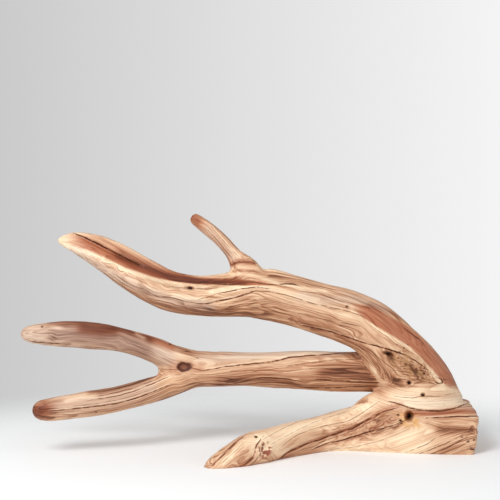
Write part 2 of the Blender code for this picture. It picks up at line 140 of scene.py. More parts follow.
# Knots and holes: the limbs they lie in, their middle, half width and height in mm, the turn of
# their long side, their depth and how far the wood swells around them.
KNOTS = (
    (("arch",), (190, 288), (6.5, 3.2), 5, 5.0, 1.2),
    (("arch",), (388, 354), (7.0, 2.8), 20, 7.0, 1.0),
    (("arch",), (409, 383), (3.6, 3.6), 0, 5.0, 1.2),
    (("arch", "shoulder"), (423, 395), (3.4, 2.6), 0, 4.5, 1.0),
    (("arch", "foot", "shoulder"), (409, 416), (5.6, 6.4), 0, 14.0, 2.2),
    (("middle", "upper_prong", "lower_prong"), (183, 367), (7.5, 6.5), 0, 1.6, 1.2),
    (("foot",), (265, 450), (6.0, 8.0), 20, 1.8, 1.8),
    (("foot",), (256, 437), (2.6, 2.0), 0, 3.0, 0.6),
)
# Knots on the far side: limb, share of its length, angle, half sizes along and across, depth
# and swell.
FAR_KNOTS = (
    ("arch", 0.30, 205, (8, 6), 6.0, 1.6), ("arch", 0.58, 168, (6, 4), 4.0, 1.2),
    ("arch", 0.80, 215, (4, 3), 3.0, 0.8), ("middle", 0.55, 190, (8, 6), 2.0, 1.6),
    ("lower_prong", 0.55, 175, (4, 3), 2.5, 0.8), ("foot", 0.45, 160, (5, 4), 3.0, 1.0),
)
DOTS = (  # small pits: middle in pixels and half size in mm
    ((347, 306.5), 1.5), ((444, 404), 1.2), ((42.5, 326.7), 1.4), ((170, 344), 1.2), ((411, 438.5), 1.4),
    ((101, 350), 1.0), ((397, 344.5), 1.0), ((404, 348), 1.2), ((400, 352), 1.0), ((408, 345), 1.0),
    ((424, 373.5), 1.3), ((462, 437), 1.2), ((468, 441.5), 1.4), ((471, 447.5), 1.3), ((474, 440), 1.2),
    ((96, 412), 1.2), ((398, 415), 1.5), ((400.5, 420.5), 1.6), ((401.5, 423.5), 1.2),
)
RING_KNOT = ((184, 367), (12.0, 7.6), 4)
FOOT_KNOT = ((265, 450), (9.0, 11.0), 12)
YELLOW_STAIN = ((410, 420), (15, 10), 15)
ROUGH_PATCH = ((409, 366), (34, 17), 32)  # the eroded hollow on the trunk: middle, mm, turn

# Grain lines: the limb whose grain they guide, half width in mm, darkness and the line.
GRAIN = (
    ("arch", 1.2, 1.0, ((76, 234), (87, 238.5), (97, 243.5), (107, 248.5), (125, 258), (142, 266.5))),
    ("arch", 0.6, 0.4, ((104, 263), (117, 266), (119, 270), (127, 272), (134, 276), (143, 280))),
    ("arch", 0.7, 0.6, ((118, 276), (130, 285), (143, 289), (156, 296), (174, 298), (187, 302), (202, 303.5))),
    ("arch", 0.6, 0.5, ((150, 298), (171, 303.5), (186, 308), (200, 311), (225, 313))),
    ("arch", 0.7, 0.6, ((200, 299), (208, 297), (216, 294))),
    ("arch", 0.8, 0.9, ((198, 303.5), (207, 303.5), (221, 300.5), (240, 296.4), (254, 291.5))),
    ("arch", 0.5, 0.5, ((168, 286.5), (177, 287), (184, 288))),
    ("arch", 0.6, 0.5, ((197, 288.5), (207, 289), (216, 288))),
    ("arch", 0.5, 0.3, ((94, 266.5), (105, 274), (117, 282), (130, 291))),
    ("arch", 0.5, 0.3, ((97, 262), (109, 271), (122, 279), (134, 286))),
    ("arch", 0.8, 0.8, ((215, 283.8), (228, 284.8), (237, 284.3), (248, 281.6), (263, 283.6), (277, 285))),
    ("arch", 0.7, 0.8, ((220, 293), (229, 291.3), (244, 288.6), (258, 287.2), (270, 289))),
    ("arch", 0.7, 0.6, ((220, 300), (236, 297), (249, 292), (267, 291.6), (289, 296), (311, 303), (329, 307), (349, 311.6), (362, 316))),
    ("arch", 0.9, 0.9, ((281, 284.4), (290, 284), (297, 285.2))),
    ("arch", 0.5, 0.6, ((298, 290.6), (320, 294.3), (334, 299), (349, 304))),
    ("arch", 0.5, 0.5, ((220, 304.5), (246, 300), (263, 299.3), (281, 303), (300, 307), (322, 314))),
    ("arch", 0.6, 0.5, ((220, 311.4), (249, 305.7), (267, 307), (289, 311.4), (309, 315.7), (329, 321.4), (350, 330))),
    ("arch", 0.9, 1.0, ((303, 325.5), (326, 330.7), (343, 335.7), (358, 340.6), (371, 344.5), (387, 349), (403, 354.3), (412, 358.5), (422, 365))),
    ("arch", 0.6, 0.8, ((340, 322.5), (349, 324), (359, 326))),
    ("arch", 0.5, 0.4, ((255, 315), (276, 318), (300, 322), (322, 327), (345, 333))),
    ("arch", 0.7, 0.9, ((404, 328), (412, 334), (418, 338), (423, 343))),
    ("arch", 0.6, 0.8, ((363, 306.2), (367, 307), (371, 309))),
    ("arch", 0.6, 0.8, ((415, 370), (420, 370), (426, 371.5))),
    ("arch", 0.7, 0.6, ((382, 378), (392, 383), (400, 386), (408, 387.5), (412, 386), (415, 383.5), (425, 382), (435, 384))),
    ("arch", 0.9, 0.7, ((404, 368.5), (410, 369.5), (417, 370), (424, 371))),
    ("arch", 0.7, 0.6, ((399, 374), (405, 374.5), (410, 375.5), (419, 376.5))),
    ("arch", 0.6, 0.6, ((391, 364.5), (398, 366.5), (405, 366), (412, 364.5), (420, 367.5))),
    ("arch", 0.6, 0.5, ((393, 359), (401, 361.5), (409, 361), (416, 364))),
    ("arch", 0.6, 0.5, ((393, 370), (400, 371), (407, 372), (413, 374))),
    ("arch", 0.6, 0.5, ((396, 378), (404, 379.5), (412, 379), (420, 379.5))),
    ("arch", 0.8, 0.6, ((424, 374.5), (428.5, 374.5), (430.5, 371.5), (428, 369.5), (424, 369))),
    ("arch", 0.5, 0.5, ((360, 345), (372, 352), (384, 362), (396, 372), (404, 379))),
    ("arch", 0.5, 0.5, ((392, 350), (403, 358), (414, 367), (424, 376))),
    ("arch", 0.5, 0.4, ((356, 347), (366, 356), (376, 368), (386, 377))),
    ("arch", 0.5, 0.4, ((370, 325), (386, 336), (402, 349), (417, 360))),
    ("arch", 0.9, 0.9, ((433.5, 378.4), (435.6, 381.6), (439.2, 383.4), (442.4, 382.4), (441.8, 379.8), (439, 378.2))),
    ("arch", 0.5, 0.8, ((442.5, 380.3), (444, 379.6), (446, 379.3))),
    ("arch", 0.6, 0.6, ((385, 353), (388, 353.5), (391, 355), (394, 358))),
    ("collar", 0.6, 0.5, ((394, 396), (402, 397.3), (412, 398), (420, 396.6), (428, 396), (437, 396.6), (445, 395), (453, 393.5))),
    ("collar", 0.5, 0.25, ((400, 400), (420, 401.5), (440, 400.5), (452, 399.5), (456, 396.5), (454.5, 393.5))),
    # The next line is painted shadow beneath the overhanging ridge.
    ("collar", 1.1, 0.7, ((390, 401.5), (400, 404.5), (410, 408), (425, 410.6), (445, 410.4), (457, 407.4), (467, 403.5))),
    ("collar", 0.9, 1.0, ((426, 418), (437.5, 417.3), (452, 416.6), (466, 416.2), (478, 416))),
    ("collar", 0.5, 0.4, ((410, 413), (425, 414), (440, 413.5), (458, 412), (474, 411))),
    ("foot", 1.2, 0.8, ((276, 462), (284, 455), (299, 447), (317, 440.5), (336, 434), (352, 428.5), (368, 420), (382, 412.5), (393, 409))),
    ("foot", 0.8, 1.0, ((314, 449), (325, 444), (343, 440), (360, 434.5), (380, 429), (396, 424.5), (402, 421.5))),
    ("foot", 0.6, 0.5, ((280, 448), (296, 436), (320, 427), (350, 420), (368, 409), (378, 402))),
    ("foot", 0.5, 0.4, ((268, 446), (290, 434), (320, 420), (345, 412), (362, 405))),
    ("foot", 0.5, 0.4, ((262, 440), (284, 428), (310, 417), (335, 410))),
    ("foot", 0.6, 0.5, ((290, 455), (310, 446), (330, 439), (352, 431), (374, 420), (390, 411))),
    ("foot", 0.8, 0.8, ((213, 465), (223, 455), (232, 446), (238, 440.5), (243, 437))),
    ("foot", 1.2, 0.8, ((241, 466), (249, 461), (254, 454), (256, 446), (260, 440))),
    ("foot", 0.6, 0.5, ((248, 466), (256, 460), (261, 452), (263, 444))),
    ("foot", 0.5, 0.4, ((222, 463), (234, 452), (244, 443))),
    ("foot", 0.5, 0.4, ((300, 457), (330, 450), (360, 446), (390, 437), (410, 428))),
    # The next line is painted shade along the lower edge of the block's fold.
    ("foot", 1.0, 0.5, ((429, 424), (444, 428.5), (453, 429.5), (465, 430), (477, 429))),
    ("foot", 0.6, 0.7, ((375, 434), (384, 430.5), (392, 427.5), (400, 424), (406, 420))),
    ("block", 0.8, 0.6, ((420, 453.5), (432, 449), (442, 445), (453, 440), (463, 434.5))),
    ("block", 0.7, 0.5, ((405, 452.5), (415, 449), (425, 445), (434, 439.5), (442, 435.5), (455, 432))),
    ("block", 0.9, 0.6, ((430, 454.5), (440, 451), (449, 447), (457, 442.5), (466, 437.5))),
    ("block", 0.5, 0.4, ((447, 454), (456, 449.5), (464, 444), (474, 437))),
    ("block", 0.9, 0.9, ((470, 449.5), (473, 449.8), (477, 448.5), (478, 445))),
    ("block", 0.5, 0.6, ((468, 432.5), (472, 433.5), (477, 436))),
    ("middle", 0.9, 0.8, ((193, 368), (200, 370), (224, 367), (250, 364), (270, 362), (296, 356.5), (320, 355), (350, 352.4))),
    ("middle", 0.7, 0.5, ((177, 370), (168, 369.3), (158, 369))),
    ("middle", 0.7, 0.9, ((220, 381), (234, 383), (250, 380), (266, 377.8), (284, 379), (298, 381))),
    ("middle", 0.5, 0.5, ((190, 383), (215, 384), (248, 384), (266, 382), (286, 383), (304, 386.5))),
    ("middle", 0.8, 0.8, ((300, 387), (330, 388), (350, 387), (380, 386))),
    ("middle", 0.9, 0.9, ((316, 379), (335, 380.5), (355, 382), (381, 383))),
    ("middle", 0.5, 0.5, ((270, 374), (290, 371), (312, 368.5), (340, 368), (378, 370))),
    ("middle", 0.6, 0.5, ((280, 366.5), (304, 363.5), (328, 360.5), (358, 359))),
    ("middle", 0.5, 0.5, ((230, 375), (252, 372), (276, 369), (300, 365))),
    ("middle", 0.5, 0.4, ((310, 374), (335, 375), (360, 376), (381, 377))),
    ("middle", 0.6, 0.8, ((190, 355.6), (194, 356.8), (198, 358.3))),
    ("middle", 0.5, 0.4, ((200, 376), (225, 373), (250, 369.5), (270, 367))),
    ("lower_prong", 0.8, 0.9, ((50, 411), (85, 407.5), (118, 403), (137, 398), (153, 391.7), (167, 385.8))),
    ("lower_prong", 0.7, 0.7, ((90, 400), (113, 396.7), (132, 391.7), (147, 386), (160, 380.5), (168, 377))),
    ("lower_prong", 0.5, 0.5, ((70, 406), (90, 404.5), (112, 401), (133, 396), (150, 390))),
    ("lower_prong", 0.6, 0.6, ((100, 396), (120, 391.5), (140, 385.5), (156, 379), (164, 374))),
    ("lower_prong", 0.5, 0.4, ((60, 415), (90, 413), (120, 409), (150, 401), (170, 392))),
    ("upper_prong", 0.7, 0.8, ((28, 340), (34, 342), (43, 342.8), (55, 343.2), (66, 343.5))),
    ("upper_prong", 0.5, 0.5, ((80, 345.8), (97, 347.4), (113, 350), (128, 353))),
    ("upper_prong", 0.6, 0.8, ((51, 336), (54, 337.6), (57, 338.6))),
    ("upper_prong", 0.5, 0.4, ((120, 338), (138, 346), (156, 354), (172, 362))),
    ("twig", 0.9, 0.7, ((229, 267), (233, 264.5), (238, 262.7), (246, 262.4), (255, 263.5))),
    ("twig", 0.5, 0.5, ((207, 229), (216, 239), (226, 251), (233, 259))),
    ("twig", 0.5, 0.4, ((213, 229), (222, 239), (232, 250), (241, 259))),
)
# Patches where the grain turns away from its limb: middle and half size in pixels, turn, and the
# line the grain follows there.
COLLAR = ((425, 401), (58, 19), 4, ((372, 391), (395, 399), (425, 402), (455, 400), (482, 398)))
BLOCK = ((438, 442), (50, 14), 0, ((370, 466), (400, 456), (425, 447), (445, 439), (465, 432.5), (490, 427)))
PATCHES = {"collar": COLLAR, "block": BLOCK}

# Soft tints: the tint (red heartwood; cream sapwood, in places also painted highlight; painted shade,
# which on a few red patches also darkens the heartwood), the limbs, half width in mm, strength and the line.
RED, CREAM_AND_HIGHLIGHT, SHADE_AND_DARKER_WOOD, SILVER = range(4)
STAINS = (
    (RED, ("arch", "foot"), 4.5, 0.95, ((409, 413), (430, 413.5), (455, 412), (478, 411))),
    (RED, ("foot", "arch"), 3.0, 0.8, ((276, 462), (299, 447), (317, 440), (336, 433), (354, 427), (371, 417.5), (390, 408), (402, 404))),
    (RED, ("foot", "arch"), 3.0, 0.4, ((300, 455), (330, 445), (362, 434), (385, 423), (398, 416))),
    (RED, ("foot",), 2.5, 0.6, ((213, 465), (223, 455), (232, 446), (243, 437))),
    (RED, ("foot",), 4.0, 0.75, ((240, 466), (249, 461), (255, 453), (257, 445))),
    (RED, ("upper_prong",), 8.0, 0.95, ((82, 329), (100, 331), (114, 330))),
    (RED, ("upper_prong",), 6.0, 0.85, ((50, 320), (90, 321), (120, 327), (150, 339), (172, 347))),
    (RED, ("lower_prong",), 12.0, 1.0, ((33, 412), (40, 411), (45, 409))),
    (RED, ("twig",), 6.5, 0.95, ((192, 216), (196, 219), (199, 222))),
    (RED, ("twig", "arch"), 4.0, 0.7, ((231, 265), (238, 262), (254, 263))),
    (RED, ("middle",), 12.0, 0.25, ((205, 376), (250, 372), (300, 370), (340, 369), (380, 372))),
    (RED, ("arch",), 6.0, 0.3, ((300, 321), (325, 328), (350, 338), (370, 350))),
    (RED, ("middle", "upper_prong", "lower_prong"), 6.0, 0.5, ((172, 369), (183, 368), (200, 369))),
    # Cream strokes are sapwood, and along the trough's near rim, the ridges below the trunk and the tops of the limbs
    # they are also painted highlight.
    (CREAM_AND_HIGHLIGHT, ("arch",), 7.0, 0.95, ((55, 239), (60, 239), (67, 243), (75, 248))),
    (CREAM_AND_HIGHLIGHT, ("arch",), 3.6, 1.0, (
        (62, 243), (78, 248.9), (95, 255.4), (112, 263), (125, 269.2), (138, 273.7), (153, 279), (175, 283.3), (205, 286),
    )),
    (CREAM_AND_HIGHLIGHT, ("arch",), 4.0, 0.9, ((174, 296), (186, 297.5), (196, 299), (203, 299))),
    (CREAM_AND_HIGHLIGHT, ("arch",), 5.0, 0.35, ((112, 270), (135, 281), (160, 292), (185, 298))),
    (CREAM_AND_HIGHLIGHT, ("arch",), 3.0, 0.85, ((222, 276), (240, 274), (258, 277), (275, 282), (300, 287), (325, 291))),
    (CREAM_AND_HIGHLIGHT, ("arch",), 6.0, 0.7, ((130, 243), (150, 253), (170, 262), (195, 270.5), (222, 274.5))),
    (CREAM_AND_HIGHLIGHT, ("arch",), 3.0, 0.8, ((210, 292), (228, 288.5), (245, 286), (262, 287), (290, 292), (318, 299))),
    (CREAM_AND_HIGHLIGHT, ("arch",), 9.0, 0.35, ((270, 290), (300, 298), (330, 306), (355, 318), (375, 332), (395, 347))),
    (CREAM_AND_HIGHLIGHT, ("arch",), 3.5, 0.7, ((352, 309), (370, 323.5), (393, 338), (412, 351), (430, 370), (445, 388))),
    (CREAM_AND_HIGHLIGHT, ("collar", "arch"), 7.0, 0.7, ((386, 390), (405, 393), (430, 390), (455, 390), (472, 396))),
    (CREAM_AND_HIGHLIGHT, ("arch", "collar"), 7.0, 0.7, ((372, 372), (380, 384), (390, 394), (410, 402), (440, 404), (462, 400))),
    (CREAM_AND_HIGHLIGHT, ("foot", "block"), 11.0, 0.9, ((330, 452), (360, 448), (390, 441), (415, 433), (430, 427))),
    (CREAM_AND_HIGHLIGHT, ("block", "foot"), 9.0, 0.75, ((396, 455), (410, 451), (424, 445))),
    (CREAM_AND_HIGHLIGHT, ("foot",), 15.0, 1.0, ((262, 438), (285, 430), (310, 422), (345, 410), (370, 400))),
    (CREAM_AND_HIGHLIGHT, ("foot",), 9.0, 0.5, ((222, 460), (232, 450), (250, 438))),
    (CREAM_AND_HIGHLIGHT, ("foot",), 12.0, 0.8, ((258, 452), (266, 450), (274, 447))),
    (CREAM_AND_HIGHLIGHT, ("middle",), 9.0, 0.5, ((170, 352), (200, 358), (240, 357), (285, 352), (330, 352))),
    (CREAM_AND_HIGHLIGHT, ("upper_prong",), 4.0, 0.15, ((24, 338), (32, 338), (48, 340), (62, 342))),
    (CREAM_AND_HIGHLIGHT, ("lower_prong",), 3.5, 0.9, ((66, 400), (80, 397), (95, 395.5))),
    # The next strokes darken with painted shade: in the folds, under the ridge and the limbs, where the trunk shades
    # the middle limb, along dark edges and over the prongs. Those on the red patches of the prongs and the twig also
    # darken the heartwood.
    (SHADE_AND_DARKER_WOOD, ("foot", "block", "arch"), 5.0, 0.9, ((428, 424), (444, 430), (458, 429.5), (470, 430))),
    (SHADE_AND_DARKER_WOOD, ("block", "foot"), 6.0, 0.3, ((440, 448), (452, 442), (475, 434))),
    (SHADE_AND_DARKER_WOOD, ("arch",), 10.0, 0.55, ((392, 358), (404, 366), (418, 373))),
    (SHADE_AND_DARKER_WOOD, ("arch", "shoulder"), 5.0, 0.6, ((376, 364), (384, 374), (394, 380), (402, 383))),
    (SHADE_AND_DARKER_WOOD, ("middle",), 12.0, 1.0, ((362, 352), (370, 362), (378, 374), (384, 388))),
    (SHADE_AND_DARKER_WOOD, ("middle",), 14.0, 0.8, ((325, 372), (350, 372), (380, 376))),
    (SHADE_AND_DARKER_WOOD, ("middle",), 7.0, 0.6, ((220, 382), (260, 380), (300, 384), (340, 388), (380, 390))),
    (SHADE_AND_DARKER_WOOD, ("arch", "shoulder"), 4.0, 0.5, ((383, 378), (394, 383), (409, 387), (422, 381), (434, 382))),
    (SHADE_AND_DARKER_WOOD, ("arch",), 8.0, 0.6, ((100, 277), (130, 295), (165, 307), (210, 314), (260, 316), (300, 324), (340, 341), (372, 360))),
    (SHADE_AND_DARKER_WOOD, ("arch",), 3.5, 0.6, ((370, 304), (400, 317), (425, 335), (445, 356), (459, 382))),
    (SHADE_AND_DARKER_WOOD, ("upper_prong",), 16.0, 0.75, ((56, 333), (90, 334), (120, 338), (145, 348))),
    (SHADE_AND_DARKER_WOOD, ("upper_prong",), 5.0, 0.8, ((50, 321), (90, 322), (120, 328), (150, 340))),
    (SHADE_AND_DARKER_WOOD, ("lower_prong",), 14.0, 0.25, ((40, 412), (80, 408), (120, 400), (160, 388))),
    (SHADE_AND_DARKER_WOOD, ("lower_prong",), 4.0, 0.8, ((90, 393), (115, 388), (140, 381), (158, 373))),
    (SHADE_AND_DARKER_WOOD, ("lower_prong",), 9.0, 0.7, ((34, 413), (42, 411))),
    (SHADE_AND_DARKER_WOOD, ("twig", "arch"), 3.0, 0.7, ((231, 265), (238, 262), (254, 263))),
    (SHADE_AND_DARKER_WOOD, ("twig",), 6.0, 0.5, ((192, 216), (197, 220))),
    (SHADE_AND_DARKER_WOOD, ("upper_prong",), 8.0, 0.9, ((84, 329), (100, 331), (112, 330))),
    (SHADE_AND_DARKER_WOOD, ("lower_prong",), 14.0, 0.6, ((32, 412), (40, 411), (46, 409))),
    (SHADE_AND_DARKER_WOOD, ("block", "foot"), 6.0, 0.8, ((438, 428), (455, 430), (468, 430.5))),
    (SHADE_AND_DARKER_WOOD, ("block", "foot"), 4.0, 0.25, ((432, 421), (455, 420), (478, 420))),
    # A painted highlight on the upper prong, then a pale scar near its tip.
    (CREAM_AND_HIGHLIGHT, ("upper_prong",), 3.0, 1.0, ((136, 333.5), (140, 335.8), (144, 338))),
    (CREAM_AND_HIGHLIGHT, ("upper_prong",), 2.8, 1.0, ((54, 327), (60, 328))),
    (SILVER, ("upper_prong",), 18.0, 0.9, ((25, 335), (60, 335), (100, 338), (140, 345), (165, 356))),
    (SILVER, ("lower_prong",), 12.0, 0.6, ((55, 406), (85, 403), (120, 397), (150, 387))),
    (SILVER, ("middle",), 8.0, 0.8, ((165, 352), (200, 357), (250, 355), (300, 351), (340, 350))),
    (SILVER, ("arch",), 8.0, 0.7, ((75, 250), (100, 267), (130, 283), (170, 300), (210, 307))),
    (SILVER, ("twig",), 9.0, 0.5, ((208, 230), (220, 244), (232, 258))),
    (SILVER, ("arch",), 8.0, 0.5, ((300, 296), (330, 300), (352, 300), (385, 310))),
    (SILVER, ("collar", "foot"), 10.0, 0.4, ((400, 402), (430, 404), (460, 400))),
)

# The line in the view between the trough's deep red lower wall and its paler upper one.
TROUGH_SPLIT = (
    (50, 226), (77, 235), (95, 243.5), (115, 254), (128, 260), (142, 266.5), (170, 273.5), (200, 277),
    (230, 279), (275, 281),
)

# The trough's red runs between these two lines.
TROUGH_TOP = (
    (52, 215), (90, 225), (110, 239), (130, 249.5), (145, 256.5), (158, 263), (170, 268.5), (182, 273),
    (195, 276.5), (215, 278.3), (228, 278.5), (243, 279.2), (263, 281), (285, 284.5),
)
TROUGH_RIM = (
    (52, 238), (57, 240), (70, 243.5), (78, 246.5), (95, 252.8), (112, 260.3), (125, 266.8), (138, 271.5),
    (153, 276.7), (170, 280.4), (186, 282.8), (212, 284.3), (228, 284.3), (243, 285.5), (263, 285.5), (285, 287),
)
# Along this line the trough gets painted shade, strongest in its deepest part.
TROUGH_DEEP = ((122, 256), (135, 262.5), (150, 269.5), (170, 276.5), (195, 281.5), (240, 283.5))  # its darkest part
# The upper and lower edges of the red facet on the trunk's back.
FACET_TOP = ((350, 302), (375, 308), (390, 317), (405, 325), (425, 340), (440, 355), (452, 373), (461, 392))
FACET_FOOT = ((350, 308), (370, 322), (393, 336), (412, 349), (430, 367), (445, 384), (457, 395))
# Below these lines the twig's root keeps to the arch's grain, and the base to the foot's.
TWIG_FOOT = ((222, 268), (231, 266), (238, 262.5), (246, 262.4), (256, 264), (264, 268))
BASE_TOP = ((330, 408), (355, 405), (375, 403), (390, 405.5), (405, 409.5), (425, 411.5), (450, 410), (480, 404))

SIGHT = np.array([0, -2191.6, 469.1])  # where the near side is seen from
SIGHT_DOWN = radians(5)
SIGHT_FAR = 2200  # mm from SIGHT to the middle of the view
PIXEL = 1.4  # mm of the driftwood in one pixel of the view
VIEW_MIDDLE = 250  # pixels

VOXEL = 2.2 * MM  # the size at which the limbs are fused
TRIANGLES = 190000  # what the carved skin is thinned to
HOLLOW = 0.3  # shares of a radius over which the hollow between two limbs is eased
AROUND = 90  # columns of a limb's skin round its section
ROW = 3  # mm between rows of a limb's skin
CHUNK = 20000  # points measured against a spine at a time
LOBES = ((3, 47, 0.014), (5, 71, 0.009))  # swellings round a section, mm per radian of twist, size

# Grain is laid on in three layers, so that limbs that meet are never in the same one.
DEEP_GRAIN = 0.8  # share of a limb's radius within which the grain changes freely outwards
LAYERS = (("arch", "upper_prong", "block"), ("middle", "foot", "twig"), ("lower_prong", "heel", "shoulder", "collar"))
GUIDE = 8.0  # mm over which a traced line bends the grain beside it
LINE_GAP = 7.0  # pixels that keep two lines of one channel apart
LINE_CHANNELS = 6
LINE_LIMIT = 12.0  # half widths from a line past which it isn't measured
FAR_AWAY = 99.0  # mm
SHORT_LINE = 22  # pixels


def smooth_through(stations, count):
    """The stations read off evenly from a smooth curve that passes through all of them."""
    rows = np.array(stations, float)
    step = np.linalg.norm(np.diff(rows[:, :3], axis=0), axis=1)
    along = np.concatenate([[0], np.cumsum(step)])
    if len(rows) < 3:
        slope = np.repeat(np.diff(rows, axis=0) / step[0], 2, axis=0)
    else:
        slope = np.gradient(rows, along, axis=0)
    at = np.linspace(0, along[-1], count)
    i = np.clip(np.searchsorted(along, at, "right") - 1, 0, len(rows) - 2)
    span = (along[i + 1] - along[i])[:, None]
    f = (at - along[i])[:, None] / span
    start = (2 * f**3 - 3 * f**2 + 1) * rows[i] + (f**3 - 2 * f**2 + f) * span * slope[i]
    end = (3 * f**2 - 2 * f**3) * rows[i + 1] + (f**3 - f**2) * span * slope[i + 1]
    return start + end


def unit(rows):
    return rows / np.linalg.norm(rows, axis=1)[:, None]


def bell(distance):
    """1 at no distance, easing to nothing by about twice the unit."""
    return np.exp(-(distance**2))


def ease(value):
    """0 to 1 with a soft start and end."""
    value = np.clip(value, 0, 1)
    return value * value * (3 - 2 * value)


class Limb:
    """A spine with an oval section. Angles run round it from the viewer's side, 90 at its top."""

    SAMPLES = 240

    def __init__(self, name, stations, caps=(14, 12), square=(2, 2), hollows=()):
        rows = smooth_through(stations, self.SAMPLES)
        self.name, self.caps, self.square, self.hollows = name, caps, square, hollows
        self.middle, self.rise, self.reach = rows[:, :3], rows[:, 3], rows[:, 4]
        step = np.linalg.norm(np.diff(self.middle, axis=0), axis=1)
        self.along = np.concatenate([[0], np.cumsum(step)])
        self.length = self.along[-1]
        self.forward = unit(np.gradient(self.middle, axis=0))
        self.side = unit(np.array([0, -1, 0]) + self.forward * self.forward[:, 1:2])
        self.up = np.cross(self.forward, self.side)

    def at(self, rows, along):
        """A value of the spine, or each of its columns, at these distances along."""
        if rows.ndim == 1:
            return np.interp(along, self.along, rows)
        return np.stack([np.interp(along, self.along, column) for column in rows.T], axis=1)

    def across_hollow(self, rows, along, angle):
        """Share of the way across one long hollow, 0 at its near rim, and its depth here."""
        x = self.at(self.middle[:, 0], along)
        places, near, far, depth = np.array(rows, float).T
        near, far = np.interp(x, places, near), np.interp(x, places, far)
        across = ((np.degrees(angle) - near + 90) % 360 - 90) / (far - near)
        return across, np.interp(x, places, depth)

    def dip(self, along, angle):
        """How deep the limb's long hollows are here, in mm."""
        deep = np.zeros_like(along)
        for rows in self.hollows:
            across, depth = self.across_hollow(rows, along, angle)
            deep += depth * np.sin(pi * np.clip(across, 0, 1)) ** 0.6
        return deep

    def section(self, along, angle):
        """How far the skin stands from the spine, as a share of the plain oval."""
        power = np.interp(along, (0, self.length), self.square)
        oval = (abs(np.cos(angle)) ** power + abs(np.sin(angle)) ** power) ** (-1 / power)
        for count, twist, size in LOBES:
            oval = oval * (1 + size * np.cos(count * angle + along / twist))
        oval = oval - self.dip(along, angle) / self.at(self.rise, along)
        for cap, left in zip(self.caps, (along, self.length - along)):
            into = np.clip(1 - left / cap, 0, 1)
            oval = oval * (1 - into**power) ** (1 / power)
        return oval

    def skin(self, along, angle):
        """Points of the skin at these distances along and angles round."""
        share = self.section(along, angle)
        across = self.at(self.reach, along) * share * np.cos(angle)
        over = self.at(self.rise, along) * share * np.sin(angle)
        spine = self.at(self.middle, along)
        side, up = self.at(self.side, along), self.at(self.up, along)
        return spine + across[:, None] * side + over[:, None] * up

    def locate(self, points):
        """Distance along the limb, angle round it and share of the oval's radius, per point."""
        i = nearest(points, self.middle)
        off = points - self.middle[i]
        ahead = (off * self.forward[i]).sum(1)
        across = (off * self.side[i]).sum(1) / self.reach[i]
        over = (off * self.up[i]).sum(1) / self.rise[i]
        along = self.along[i] + ahead
        past = np.clip(abs(along - self.length / 2) - self.length / 2, 0, None) / self.reach[i]
        return along, np.arctan2(over, across), np.sqrt(across**2 + over**2 + past**2)


def nearest(points, path):
    """Index of the path's nearest sample, per point."""
    found = [
        ((path**2).sum(1) - 2 * points[i : i + CHUNK] @ path.T).argmin(1)
        for i in range(0, len(points), CHUNK)
    ]
    return np.concatenate(found) if found else np.zeros(0, int)


def limbs():
    """Every limb by name."""
    made = (
        Limb("arch", ARCH, caps=(20, 16), hollows=(TROUGH, FACET)),
        Limb("middle", MIDDLE, caps=(20, 10)),
        Limb("upper_prong", UPPER_PRONG, caps=(20, 15)),
        Limb("lower_prong", LOWER_PRONG, caps=(20, 14)),
        Limb("twig", TWIG, caps=(14, 8)),
        Limb("foot", FOOT, caps=(8, 12), square=(4.6, 2)),
        Limb("shoulder", SHOULDER, caps=(12, 10)),
        Limb("heel", HEEL, caps=(20, 18)),
    )
    return {limb.name: limb for limb in made}


def mesh_points(mesh):
    co = np.empty(len(mesh.vertices) * 3)
    mesh.vertices.foreach_get("co", co)
    return co.reshape(-1, 3)


def mesh_normals(mesh):
    facing = np.empty(len(mesh.vertices) * 3)
    mesh.vertex_normals.foreach_get("vector", facing)
    return facing.reshape(-1, 3)


def add_limb(bm, limb):
    """A flat grid rolled up round the limb's spine, closed along its seam and at both ends."""
    rows = round(limb.length / ROW)
    sheet = bmesh.ops.create_grid(bm, x_segments=rows, y_segments=AROUND, size=0.5)["verts"]
    flat = np.array([v.co for v in sheet])
    rolled = limb.skin((flat[:, 0] + 0.5) * limb.length, (flat[:, 1] + 0.5) * radians(360))
    for vertex, point in zip(sheet, rolled):
        vertex.co = Vector(point) * MM
    bmesh.ops.remove_doubles(bm, verts=sheet, dist=0.02 * MM)


def apply_modifiers(obj):
    """The object's mesh with its modifiers applied, and the modifiers removed."""
    bpy.context.view_layer.update()
    mesh = bpy.data.meshes.new_from_object(obj.evaluated_get(bpy.context.evaluated_depsgraph_get()))
    obj.modifiers.clear()
    obj.data = mesh
    return mesh


def fused_body(name, wood):
    """One object holding every limb's skin, fused into a single closed surface."""
    bm = bmesh.new()
    for limb in wood.values():
        add_limb(bm, limb)
    bmesh.ops.recalc_face_normals(bm, faces=bm.faces)
    mesh = bpy.data.meshes.new(name)
    bm.to_mesh(mesh)
    bm.free()
    body = bpy.data.objects.new(name, mesh)
    bpy.context.collection.objects.link(body)
    fuse = body.modifiers.new("fuse the limbs", "REMESH")
    fuse.mode = "VOXEL"
    fuse.voxel_size = VOXEL
    apply_modifiers(body)
    return body


def ease_junctions(body, wood):
    """Relaxes the whole skin a little and the hollows between limbs a great deal, then refines it."""
    shares = np.sort([limb.locate(mesh_points(body.data) / MM)[2] for limb in wood.values()], axis=0)
    group = body.vertex_groups.new(name="junctions")
    for index, weight in enumerate(np.clip(1 - (shares[1] - shares[0]) / HOLLOW, 0, 1)):
        group.add([index], float(weight), "REPLACE")
    for name, repeats, vertex_group in (("skin", 8, ""), ("junctions", 24, group.name)):
        smooth = body.modifiers.new(name, "SMOOTH")
        smooth.factor, smooth.iterations, smooth.vertex_group = 0.5, repeats, vertex_group
    apply_modifiers(body)
    body.vertex_groups.clear()
    finer = body.modifiers.new("finer", "SUBSURF")
    finer.levels = finer.render_levels = 1
    apply_modifiers(body)


